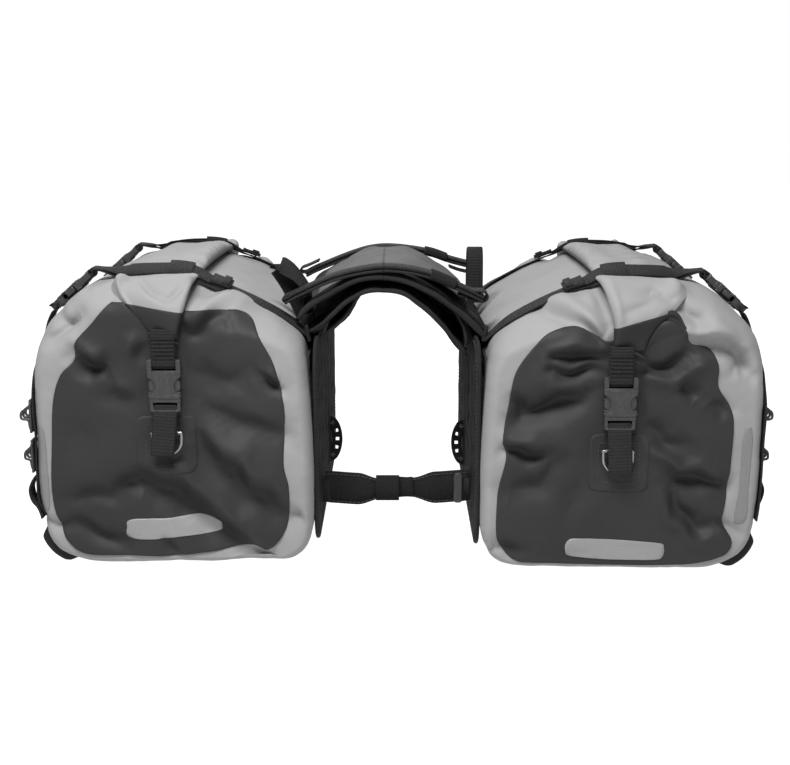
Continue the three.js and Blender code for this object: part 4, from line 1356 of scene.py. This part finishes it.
def wall_line(bag, end):
    """Points (u, y, z) of the side strap on the wall, each followed by the direction of its width."""
    theta = np.arctan2(np.array(WALL_HEIGHTS) - CENTRE[1], 0.152)
    reach = np.array(WALL_REACH)
    points = bag.surface(theta, reach, end, 0.0016)
    ahead, behind = (bag.surface(theta, reach + step, end, 0.0016) for step in (0.04, -0.04))
    return np.hstack([points, unit(ahead - behind)])


def strap_station(bag, end):
    return slot_centre(f"{bag.side}_compression_socket_{end}").y


def on_strap(bag, end, line, y=None):
    """World points of a line of (u, z) in the plane of a compression strap or beside it."""
    return at_y(np.asarray(line) * [bag.sign, 1], strap_station(bag, end) if y is None else y)


def over_bag(bag, end, line):
    """A line of (u, z) laid over the bag as the compression strap lies: drawn forwards at its inner end."""
    points = on_strap(bag, end, line)
    points[:, 1] += FACING[end] * 0.016 * (1 - smoothstep(line[:, 0], 0.262, 0.312))
    return points


def strap_lean(end, line):
    """The direction of the strap's width: it leans over the bag's rounded end."""
    u = np.asarray(line)[:, 0]
    lean = 8 * smoothstep(u, 0.10, 0.13) + 13 * smoothstep(u, 0.19, 0.225) - 21 * smoothstep(u, 0.292, 0.325)
    lean = np.radians(lean)
    return np.stack([np.zeros(len(u)), np.cos(lean), -FACING[end] * np.sin(lean)], -1)


def raised(line, height):
    """A line of (u, z) moved to its upper side."""
    tangent = unit(np.gradient(line, axis=0))
    return line + height * np.stack([-tangent[:, 1], tangent[:, 0]], -1)


def part_of(line, u0, u1):
    return line[(line[:, 0] >= u0) & (line[:, 0] <= u1)]


def slope_spot(bag, end, z):
    """A point (u, z) in the middle of a compression buckle, z along it, and its down and out directions."""
    spot = slope_frame(bag, end) @ Vector((0, 0, z))
    down = np.array([math.cos(SLOPE), -math.sin(SLOPE)])
    out = np.array([math.sin(SLOPE), math.cos(SLOPE)])
    return np.array([spot.x * bag.sign, spot.z]), down, out


def add_compression_strap(bag, end):
    """Webbing from the inner wall over the roll to the clip's bar, doubled back over itself."""
    bar_at, down, out = slope_spot(bag, end, CLIP_BAR_SPOT)
    turn = [bar_at - 0.010 * down + 0.0005 * out, bar_at - 0.004 * down - 0.0030 * out,
            bar_at + 0.0005 * down - 0.0034 * out, bar_at + 0.0036 * down,
            bar_at + 0.0005 * down + 0.0034 * out, bar_at - 0.006 * down + 0.0036 * out]
    lower = smooth_line(np.vstack([STRAP_LINE, turn]), 0.0025)
    first = smooth_line(STRAP_LINE, 0.0025)
    upper = raised(part_of(first, 0.186, 0.330), 0.0026)
    upper_end = bar_at - 0.008 * down + 0.0036 * out
    upper = smooth_line(np.vstack([[upper[0] - [0.001, 0.001]], upper[::3], [upper_end]]), 0.0025)
    layers = [
        ("lower", lower, 0.0250, 0.0018), ("upper", upper, 0.0245, 0.0018),
        ("fold", raised(part_of(first, 0.181, 0.203), 0.0046), 0.0262, 0.0042),
        ("fold_end", raised(part_of(first, 0.184, 0.193), 0.0072), 0.0268, 0.0036),
        ("keeper", raised(part_of(first, 0.222, 0.248), 0.0014), 0.0300, 0.0080),
    ]
    pieces = [ribbon(layer, over_bag(bag, end, line), strap_lean(end, line), width, thickness)
              for layer, line, width, thickness in layers]
    obj = join(f"{bag.side}_{end}_compression_webbing", pieces)
    bag.own(obj, "webbing", f"{bag.side}_compression_strap_{end}")


def add_side_strap(bag, end):
    """Webbing from the side socket's bar down the outer wall."""
    side = bag.side
    bar_at, down, out = slope_spot(bag, end, SOCKET_BAR_SPOT)
    line = np.vstack([
        bar_at + 0.0020 * down + 0.0036 * out, bar_at - 0.0024 * down + 0.0032 * out,
        bar_at - 0.0042 * down, bar_at - 0.0036 * out,
        bar_at + 0.0040 * down - 0.0030 * out, (0.3795, 0.2605), (0.3830, 0.2510)])
    rows = np.array([[u, -STRAP_STATION, z, 0, 1, 0] for u, z in line])
    rows = smooth_line(np.vstack([rows, wall_line(bag, end)]) * WIDTH_SCALE, 0.0025) / WIDTH_SCALE
    across = unit(bag.to_world(rows[:, 3:], end) - bag.to_world(np.zeros(3), end))
    strap = ribbon(f"{side}_{end}_side_webbing", bag.to_world(rows[:, :3], end), across)
    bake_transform(strap)
    y = FACING[end] * WALL_STATION
    wall = wall_line(bag, end)[::-1]

    def against_wall(line):
        """A line of (u, z), with u counted from HOOK_WALL, moved to the wall's own distance."""
        line = np.array(line, dtype=float)
        line[:, 0] += np.interp(line[:, 1], wall[:, 2], wall[:, 0]) - HOOK_WALL
        return line

    pieces = []
    for z, reach in ((0.166, 0.0085), (0.122, 0.0065)):
        hook = smooth_line([(0.3905, z + 0.014), (0.3925, z + 0.008), (0.3915 + reach, z + 0.003),
                            (0.3920 + reach, z - 0.004), (0.3935, z - 0.006), (0.3920, z - 0.013),
                            (0.3905, z - 0.018)], 0.001)
        for offset in (-0.009, 0.0, 0.009):
            pieces.append(tube("hook", on_strap(bag, end, against_wall(hook), y + offset), 0.0014, "plastic"))
        base = smooth_line([(0.3912, z + 0.016), (0.3914, z), (0.3912, z - 0.020)], 0.002)
        base = on_strap(bag, end, against_wall(base), y)
        pieces.append(ribbon("base", base, (0, 1, 0), 0.020, 0.0022, "plastic"))
    hooks = join(f"{side}_{end}_side_hooks", pieces)
    bag.own(hooks, "buckle_plastic")
    tab = smooth_line([(0.3892, 0.098), (0.3935, 0.092), (0.3975, 0.082), (0.3960, 0.070), (0.3915, 0.062),
                       (0.3895, 0.050)], 0.002)
    tab = on_strap(bag, end, against_wall(tab), y)
    bag.own(ribbon(f"{side}_{end}_side_loop", tab, (0, 1, 0), 0.020, 0.0020), "webbing")


def add_guards(bag, end):
    """Rubber guards on the outer bottom corner, and the film down the outer edge."""
    theta = np.linspace(math.atan2(-0.155, 0.112), math.atan2(-0.118, 0.150), 26)
    reach = np.linspace(1.75, 2.26, 22)
    grid_theta, grid_reach = np.meshgrid(theta, reach)
    edge = np.minimum(np.minimum(np.linspace(0, 1, 26), np.linspace(1, 0, 26))[None, :] * 6,
                      np.minimum(np.linspace(0, 1, 22), np.linspace(1, 0, 22))[:, None] * 6)
    lift = 0.0088 * smoothstep(edge, 0, 1.4) - 0.0006
    points = bag.surface(grid_theta, grid_reach, end, lift)
    guard = grid_mesh(f"{bag.side}_{end}_corner_guard", bag.to_world(points, end), "rubber",
                      flip=bag.flip(end))
    bag.own(guard, "rubber")
    if bag.look(end) == "right":
        film = [(0.3640, 0.153), (0.3690, 0.156), (0.3735, 0.154), (0.3735, 0.120), (0.3725, 0.090),
                (0.3735, 0.062), (0.3690, 0.053), (0.3590, 0.053), (0.3585, 0.060), (0.3625, 0.078),
                (0.3635, 0.110)]
    else:
        film = [(0.3760, 0.150), (0.3835, 0.150), (0.3845, 0.100), (0.3835, 0.070), (0.3800, 0.062),
                (0.3745, 0.064), (0.3740, 0.100)]
    strip = overlay(f"{bag.side}_{end}_edge_film", bag, end, film, "side_film", 0.0008, rings=8, around=110)
    bag.own(strip, "shell_fabric")


# ---- Inner panels, ladder straps and the spreader strap ------------------------------------------------

PANEL_CORNER = 0.034
CHANNEL_WIDTH = 0.064           # from one sewn channel to the next


def add_inner_panel(bag):
    """Black textile panel: a thin quilted pad with a piped edge and sewn upright channels."""
    side = bag.side
    low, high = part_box(f"{side}_inner_panel")
    y0, y1, z0, z1 = low[1], high[1], low[2], high[2]
    back = max(abs(low[0]), abs(high[0]))
    outline = dense(rounded_loop(y0 + 0.002, y1 - 0.002, z0 + 0.002, z1 - 0.002, PANEL_CORNER, 10), 0.004)
    centre = np.array([(y0 + y1) / 2, (z0 + z1) / 2])
    loop = np.array(outline)
    reach = np.linspace(0.01, 1, 44)
    flat = centre + reach[:, None, None] * (loop - centre)[None]
    channels = np.abs(np.sin((flat[..., 0] - centre[0]) * math.pi / CHANNEL_WIDTH))
    crown = 0.0042 * np.clip(channels, 0, 1) ** 0.35 * (1 - reach[:, None] ** 12)
    crown += 0.0007 * waves(flat, 51, 8, 0.02, 0.07) * (1 - reach[:, None] ** 8)
    x = (back - 0.0022 - crown) * bag.sign
    front = np.stack([x, flat[..., 0], flat[..., 1]], -1)
    rear = np.stack([np.full(len(loop), back * bag.sign), loop[:, 0], loop[:, 1]], -1)
    rows = np.vstack([front, rear[None]])
    panel = grid_mesh(f"{side}_back_panel", rows, "textile", wrap=True, flip=bag.sign > 0)
    edge = np.stack([np.full(len(loop), (back - 0.0020) * bag.sign), loop[:, 0], loop[:, 1]], -1)
    piping = tube("piping", smooth_line(edge, 0.003, closed=True), 0.0024, "piping", closed=True, sides=10)
    inset = centre + (loop - centre) * 0.965
    seam = np.stack([np.full(len(loop), (back - 0.0042) * bag.sign), inset[:, 0], inset[:, 1]], -1)
    thread = stitches("thread", np.vstack([seam, seam[:1]]), (-bag.sign, 0, 0), radius=0.0005)
    obj = join(f"{side}_back_panel", [panel, piping, thread])
    bag.own(obj, "back_textile", f"{side}_inner_panel")


def add_ladder_strap(bag):
    """A rubber strap with square holes, bowed off the inner panel."""
    node = f"{bag.side}_ladder_strap"
    low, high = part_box(node)
    face = max(abs(low[0]), abs(high[0]))
    bulge = face - min(abs(low[0]), abs(high[0]))
    y, z0, z1 = (low[1] + high[1]) / 2, low[2], high[2]
    s = np.linspace(0, 1, 40)
    bow = face - (bulge - 0.0035) * np.sin(math.pi * s) ** 0.42 + 0.002
    centre = smooth_line(np.stack([bow, z0 + 0.004 + (z1 - z0 - 0.008) * s], -1), 0.0005)
    tangent = unit(np.gradient(centre, axis=0))
    normal = np.stack([-tangent[:, 1], tangent[:, 0]], -1)
    half = 0.0058
    ring = np.vstack([centre + normal * half, (centre - normal * half)[::-1]])
    holes = []
    count = 5
    for k in range(count):
        i = int((k + 0.6) / (count + 0.2) * (len(centre) - 1))
        c, t, n = centre[i], tangent[i], normal[i]
        holes.append([c + 0.0028 * (a * t + b * n) for a, b in ((-1, -1), (1, -1), (1, 1), (-1, 1))])
    loops = [[(p[0] * bag.sign, p[1]) for p in loop] for loop in [ring[::3], *holes]]
    strap = plate(f"{bag.side}_rubber_ladder", loops[0], 0.003, 0.0006, loops[1:], "rubber")
    strap.data.transform(Matrix.Translation((0, y, 0)))
    bag.own(strap, "rubber", node)


def add_spreader(bag):
    """Half of the hook-and-loop strap between the bags, waisted towards the middle."""
    side = bag.side
    node = f"{side}_spreader_strap"
    low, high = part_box(node)
    y = (low[1] + high[1]) / 2
    middle = (low[2] + high[2]) / 2
    inner = -0.019 if side == "left" else -0.018
    face = 0.0835
    line = np.linspace(inner, face, 60)
    s = (line - inner) / (face - inner)
    sag = -0.0045 * np.sin(math.pi * np.clip((line + 0.02) / (face + 0.02), 0, 1)) * 0.6
    path = np.stack([line * bag.sign, np.full(60, y) + 0.0008 * np.sin(s * 9), middle + sag], -1)
    widths = 0.0235 + 0.0145 * smoothstep(s, 0.35, 0.62) - 0.002 * smoothstep(s, 0.9, 1.0)
    pieces = [ribbon("band", path, (0, 0, 1), thickness=0.0034, material="pile", widths=widths)]
    for z in (-0.42, 0.42):
        edge = path[18:] + np.stack([np.zeros(42), np.full(42, -0.0019), widths[18:] * z], -1)
        pieces.append(stitches("thread", edge, (0, -1, 0), radius=0.0005))
    if side == "left":
        keeper = np.linspace((-0.0235, y - 0.0018, middle - 0.001), (0.0030, y - 0.0018, middle - 0.001), 12)
        pieces.append(ribbon("keeper", keeper, (0, 0, 1), 0.0285, 0.0105, "pile"))
    if side == "right":
        anchor = smooth_line([(0.0795, y - 0.0015), (0.0700, y - 0.0062), (0.0655, y - 0.0030),
                              (0.0700, y + 0.0022), (0.0835, y + 0.0030)], 0.0015)
        anchor = np.hstack([anchor, np.full((len(anchor), 1), middle - 0.001)])
        pieces.append(ribbon("anchor", anchor, (0, 0, 1), 0.030, 0.0018, "webbing"))
        slider_loop = rounded_loop(0.0665, 0.0740, middle - 0.0175, middle + 0.0155, 0.0022)
        slider = plate("slider", slider_loop, 0.0040, 0.0010)
        slider.data.transform(Matrix.Translation((0, y - 0.0075, 0)))
        pieces.append(slider)
    root = np.array([[0.0850, y], [0.0800, y - 0.001], [0.0760, y - 0.002]]) * [bag.sign, 1]
    root = np.hstack([root, np.full((3, 1), middle - 0.003)])
    pieces.append(ribbon("root", smooth_line(root, 0.002), (0, 0, 1), 0.0245, 0.0075, "webbing"))
    obj = join(f"{side}_spreader_band", pieces)
    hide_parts(node)
    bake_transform(obj)


# ---- Yoke ---------------------------------------------------------------------------------------------

# Lines across the motorcycle, as (x, z), for the padded flaps and the straps over them.
UPPER_FLAP = [
    (-0.108, 0.2590), (-0.098, 0.2700), (-0.084, 0.2800), (-0.062, 0.2930), (-0.041, 0.3020),
    (-0.016, 0.3045), (0.010, 0.3000), (0.035, 0.2890), (0.055, 0.2770), (0.075, 0.2600), (0.098, 0.2370),
]
LOWER_FLAP = [
    (-0.098, 0.2440), (-0.087, 0.2500), (-0.073, 0.2610), (-0.055, 0.2770), (-0.036, 0.2880),
    (-0.014, 0.2905), (0.009, 0.2860), (0.030, 0.2710), (0.048, 0.2540), (0.064, 0.2360),
    (0.0765, 0.2200),
]
FRONT_STRAP = [
    (-0.124, 0.2800), (-0.105, 0.2900), (-0.068, 0.3060), (-0.027, 0.3150), (0.004, 0.3150),
    (0.035, 0.3090), (0.067, 0.2960), (0.096, 0.2820),
]
REAR_STRAP = [
    (-0.118, 0.2770), (-0.102, 0.2850), (-0.060, 0.3020), (-0.029, 0.3105), (0.002, 0.3110),
    (0.042, 0.3050), (0.069, 0.2960), (0.092, 0.2900),
]
FLANK_LINES = {
    "left": [(0.0440, 0.2830), (0.0480, 0.2740), (0.0530, 0.2640), (0.0625, 0.2535), (0.0760, 0.2430)],
    "right": [(0.0460, 0.2820), (0.0600, 0.2720), (0.0700, 0.2580), (0.0755, 0.2420), (0.0770, 0.2270)],
}
COVER_LINE = [
    (-0.088, 0.2810), (-0.062, 0.2975), (-0.038, 0.3085), (-0.012, 0.3120), (0.014, 0.3095),
    (0.040, 0.2990), (0.062, 0.2850), (0.080, 0.2690),
]
YOKE_HALF = 0.138               # how far the flaps reach to the front and to the rear
FLANK_HALF = 0.134
COVER_HALF = 0.100
SPLIT = -0.014                  # where each flap's left and right halves meet, near its crown


def halves_of(line):
    """A line split at SPLIT into a left and a right half, both starting at the split."""
    fine = smooth_line(line, 0.0005)
    at = int(np.argmin(np.abs(fine[:, 0] - SPLIT)))
    return {"left": fine[:at + 1][::-1], "right": fine[at:]}


def resampled(line, step):
    lengths = np.concatenate([[0], np.cumsum(np.linalg.norm(np.diff(line, axis=0), axis=1))])
    spots = np.linspace(0, lengths[-1], max(3, int(round(lengths[-1] / step)) + 1))
    return np.stack([np.interp(spots, lengths, line[:, k]) for k in range(line.shape[1])], -1)


def flap_half(name, half, sign, reach, thickness, material, crown, seed):
    """One half of a padded flap: a closed, quilted pad that follows a line, with rounded ends and sides."""
    line = resampled(half, 0.003)
    tangent = unit(np.gradient(line, axis=0))
    up = np.stack([-tangent[:, 1], tangent[:, 0]], -1) * (1 if line[-1, 0] > line[0, 0] else -1)
    s = np.linspace(0, 1, len(line))
    across = np.linspace(-1, 1, 61)
    y = reach * np.sign(across) * np.abs(across) ** 0.92
    end_round = np.sqrt(np.clip(1 - ((s - 0.93) / 0.07).clip(0, 1) ** 2, 0.02, 1))
    side_round = np.sqrt(np.clip(1 - ((np.abs(across) - 0.955) / 0.045).clip(0, 1) ** 2, 0.02, 1))
    body = end_round[:, None] * side_round[None, :]
    seamline = 1 - 0.6 * np.exp(-((np.abs(across) - 0.90) / 0.016) ** 2)[None, :]
    middle = crown * (1 - across ** 2)[None, :] * (1 - 0.4 * s[:, None])
    flat = np.stack(np.meshgrid(s * 0.12, y, indexing="ij"), -1)
    wave = 0.0011 * waves(flat, seed, 8, 0.03, 0.09) * body
    surfaces = []
    for face in (1, -1):
        height = middle + wave + face * thickness / 2 * body * (seamline if face > 0 else 1)
        surfaces.append(np.stack([
            line[:, 0][:, None] + up[:, 0][:, None] * height,
            np.broadcast_to(y[None, :], height.shape),
            line[:, 1][:, None] + up[:, 1][:, None] * height], -1))
    rows = np.concatenate([surfaces[0], surfaces[1][:, ::-1]], axis=1)
    return grid_mesh(name, rows, material, wrap=True, caps=True, flip=sign < 0), surfaces


def follow_bag(obj, side, slot, *nodes):
    """Bakes a piece of the yoke into place, and hides the nodes it stands for."""
    mark(nodes)
    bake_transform(obj)


def edge_trim(surfaces, y_index, offset):
    """The middle line of a flap's edge."""
    return (surfaces[0][:, y_index] + surfaces[1][:, y_index]) / 2 + np.array([0, offset, 0])


def add_flap(name, line, thickness, crown, seed, replaced, material="pad", reach=YOKE_HALF):
    """A padded flap over the seat, in two halves; a flap of padding has piping and stitching round it."""
    for side, half in halves_of(line).items():
        obj, surfaces = flap_half(f"{name}_{side}", half, SIGN[side], reach, thickness, material, crown, seed)
        pieces = [obj]
        if material == "pad":
            for index, offset in ((0, -0.0004), (-1, 0.0004)):
                edge = resampled(edge_trim(surfaces, index, offset), 0.003)
                pieces.append(tube("piping", edge, thickness * 0.42, "piping", sides=10))
                row = surfaces[0][:, 3 if index == 0 else -4] + np.array([0, 0, 0.0003])
                pieces.append(stitches("thread", row, (0, 0, 1), radius=0.00045))
            tip = (surfaces[0][-1] + surfaces[1][-1]) / 2
            pieces.append(tube("piping", tip, thickness * 0.42, "piping", sides=10))
        obj = join(f"{name}_{side}", pieces)
        follow_bag(obj, side, "pad_fabric" if material == "pad" else "yoke_panel", *replaced)


def add_flanks():
    """The padded flaps that hang inside the yoke, beside the inner panels."""
    for side in SIDES:
        sign = SIGN[side]
        line = resampled(smooth_line(FLANK_LINES[side], 0.001), 0.003) * [sign, 1]
        obj, surfaces = flap_half(f"yoke_flank_{side}", line, sign, FLANK_HALF, 0.0050, "pad", 0.0, 64)
        tip = (surfaces[0][-1] + surfaces[1][-1]) / 2
        obj = join(f"yoke_flank_{side}", [obj, tube("piping", tip, 0.0021, "piping", sides=10)])
        follow_bag(obj, side, "pad_fabric", "yoke_pad")


def add_yoke_strap(end, line):
    """A two-layer strap over the yoke, in two halves, with a sleeve on the right and folded-back tongues."""
    node = f"yoke_strap_{end}"
    station = slot_centre(node).y * 0.995
    fine = smooth_line(line, 0.002)
    lower = raised(fine, -0.0040)
    width = 0.030
    for side in SIDES:
        pieces = []
        for layer, path in enumerate((fine, lower)):
            part = path[path[:, 0] <= SPLIT + 0.001] if side == "left" else path[path[:, 0] >= SPLIT - 0.001]
            pieces.append(ribbon("layer", at_y(part, station - 0.001 * layer), (0, 1, 0), width, 0.0030))
        if side == "right":
            sleeve = raised(part_of(fine, 0.036, 0.066), -0.0012)
            pieces.append(ribbon("sleeve", at_y(sleeve, station), (0, 1, 0), width + 0.004, 0.0088, "pile"))
            tongue = [(0.066, 0.2950), (0.082, 0.2895), (0.096, 0.2885), (0.100, 0.2835), (0.096, 0.2780),
                      (0.082, 0.2800), (0.068, 0.2850)]
            if end == "front":
                under = [(0.068, 0.2850), (0.078, 0.2740), (0.088, 0.2640), (0.096, 0.2520), (0.1005, 0.2420)]
                points = at_y(smooth_line(under, 0.002), station + 0.002)
                pieces.append(ribbon("under", points, (0, 1, 0), 0.024, 0.0018))
        else:
            tongue = [(-0.100, 0.2930), (-0.113, 0.2870), (-0.122, 0.2835), (-0.1245, 0.2800),
                      (-0.121, 0.2775), (-0.110, 0.2800), (-0.098, 0.2850)]
        points = at_y(smooth_line(tongue, 0.0015), station)
        pieces.append(ribbon("tongue", points, (0, 1, 0), 0.0265, 0.0020))
        obj = join(f"yoke_strap_{end}_{side}", pieces)
        follow_bag(obj, side, "webbing", node)


RING_RADIUS = 0.0075
RING_WIRE = 0.0016
RING_STATION = 0.1465           # how far the rings stand from the bag's middle
LOOP_WIDTH = 0.0190
LOOP_THICKNESS = 0.0022


def add_rings(bag, end):
    """Two round rings that join a yoke strap to the bag, and the webbing that holds them."""
    y = FACING[end] * RING_STATION
    pieces = []
    for u, z, turn in ((0.1125, 0.2690, 1.0), (0.0960, 0.2550, 0.2)):
        a = np.linspace(0, 2 * math.pi, 40, endpoint=False)
        ring = np.stack([
            (u + RING_RADIUS * np.cos(a) * math.cos(turn)) * bag.sign,
            y + RING_RADIUS * np.cos(a) * math.sin(turn) * FACING[end] * 0.6,
            z + RING_RADIUS * np.sin(a) * (1.0 if turn > 0.5 else 0.45)], -1)
        pieces.append(tube("ring", ring, RING_WIRE, "steel", closed=True, sides=12))
    rings = join(f"{bag.side}_{end}_link_rings", pieces)
    bag.own(rings, "steel")
    tab = smooth_line([(0.0945, 0.2360), (0.0965, 0.2420), (0.0975, 0.2480), (0.0985, 0.2530)], 0.0015)
    points = at_y(tab * [bag.sign, 1], y * 0.985)
    obj = ribbon(f"{bag.side}_{end}_link_webbing", points, (0, 1, 0), 0.013, 0.0034)
    bag.own(obj, "webbing")


def add_carry_loops():
    """An upright loop on the right-hand bag and a folded one on the left-hand bag."""
    path = smooth_line([(0.000, 0.2560), (0.002, 0.2850), (0.006, 0.3110), (0.018, 0.3205), (0.031, 0.3110),
                        (0.036, 0.2850), (0.038, 0.2560)], 0.002)
    points = np.stack([np.full(len(path), 0.0945), path[:, 0], path[:, 1]], -1)
    obj = ribbon("right_carry_loop", points, (1, 0, 0), LOOP_WIDTH, LOOP_THICKNESS)
    BAGS["right"].own(obj, "webbing")
    outer_leg = smooth_line([(-0.1060, -0.090, 0.2580), (-0.1140, -0.090, 0.2760), (-0.1250, -0.091, 0.2960),
                             (-0.1330, -0.094, 0.3085)], 0.002)
    inner_leg = smooth_line([(-0.1330, -0.094, 0.3085), (-0.1315, -0.096, 0.3135), (-0.1270, -0.098, 0.3130),
                             (-0.1140, -0.102, 0.3040), (-0.1040, -0.104, 0.2930), (-0.1000, -0.104, 0.2810),
                             (-0.0985, -0.104, 0.2600)], 0.002)
    turn = smoothstep(np.linspace(0, 1, len(inner_leg)), 0.05, 0.55)[:, None]
    wide = np.array([0.90, -0.10, 0.42])
    slim = np.array([0.42, 0.88, 0.20])
    pieces = [ribbon("outer_leg", outer_leg, wide, LOOP_WIDTH, LOOP_THICKNESS),
              ribbon("inner_leg", inner_leg, wide * (1 - turn) + slim * turn, LOOP_WIDTH, LOOP_THICKNESS)]
    BAGS["left"].own(join("left_carry_loop", pieces), "webbing")


def finish_cad_nodes():
    """A procedural finish for the boards, the one kind of CAD piece that stays as it is."""
    for side in SIDES:
        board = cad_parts[f"{side}_stiffener_board"]
        for slot in board.material_slots:
            slot.material = MATERIALS["board"]


add_camera()
add_studio()
for saddlebag in BAGS.values():
    add_shell(saddlebag)
    add_roll(saddlebag)
    add_inner_panel(saddlebag)
    add_ladder_strap(saddlebag)
    add_spreader(saddlebag)
    for where in ENDS:
        add_end_panel(saddlebag, where)
        add_guards(saddlebag, where)
        add_ear_lips(saddlebag, where)
        if saddlebag.look(where) == "right":
            add_pocket(saddlebag, where)
        add_end_buckle(saddlebag, where)
        add_compression_buckle(saddlebag, where)
        add_roll_strap(saddlebag, where)
        add_anchor_strap(saddlebag, where)
        add_d_ring(saddlebag, where)
        add_compression_strap(saddlebag, where)
        add_side_strap(saddlebag, where)
        add_rings(saddlebag, where)
add_flap("yoke_upper_flap", UPPER_FLAP, 0.0062, 0.0020, 61, ["yoke_pad"])
add_flap("yoke_lower_flap", LOWER_FLAP, 0.0050, 0.0000, 62, ["yoke_pad"])
add_flap("yoke_grey_cover", COVER_LINE, 0.0026, 0.0030, 63, ["yoke_cover"], "yoke_panel", COVER_HALF)
add_flanks()
add_yoke_strap("front", FRONT_STRAP)
add_yoke_strap("rear", REAR_STRAP)
add_carry_loops()
finish_cad_nodes()
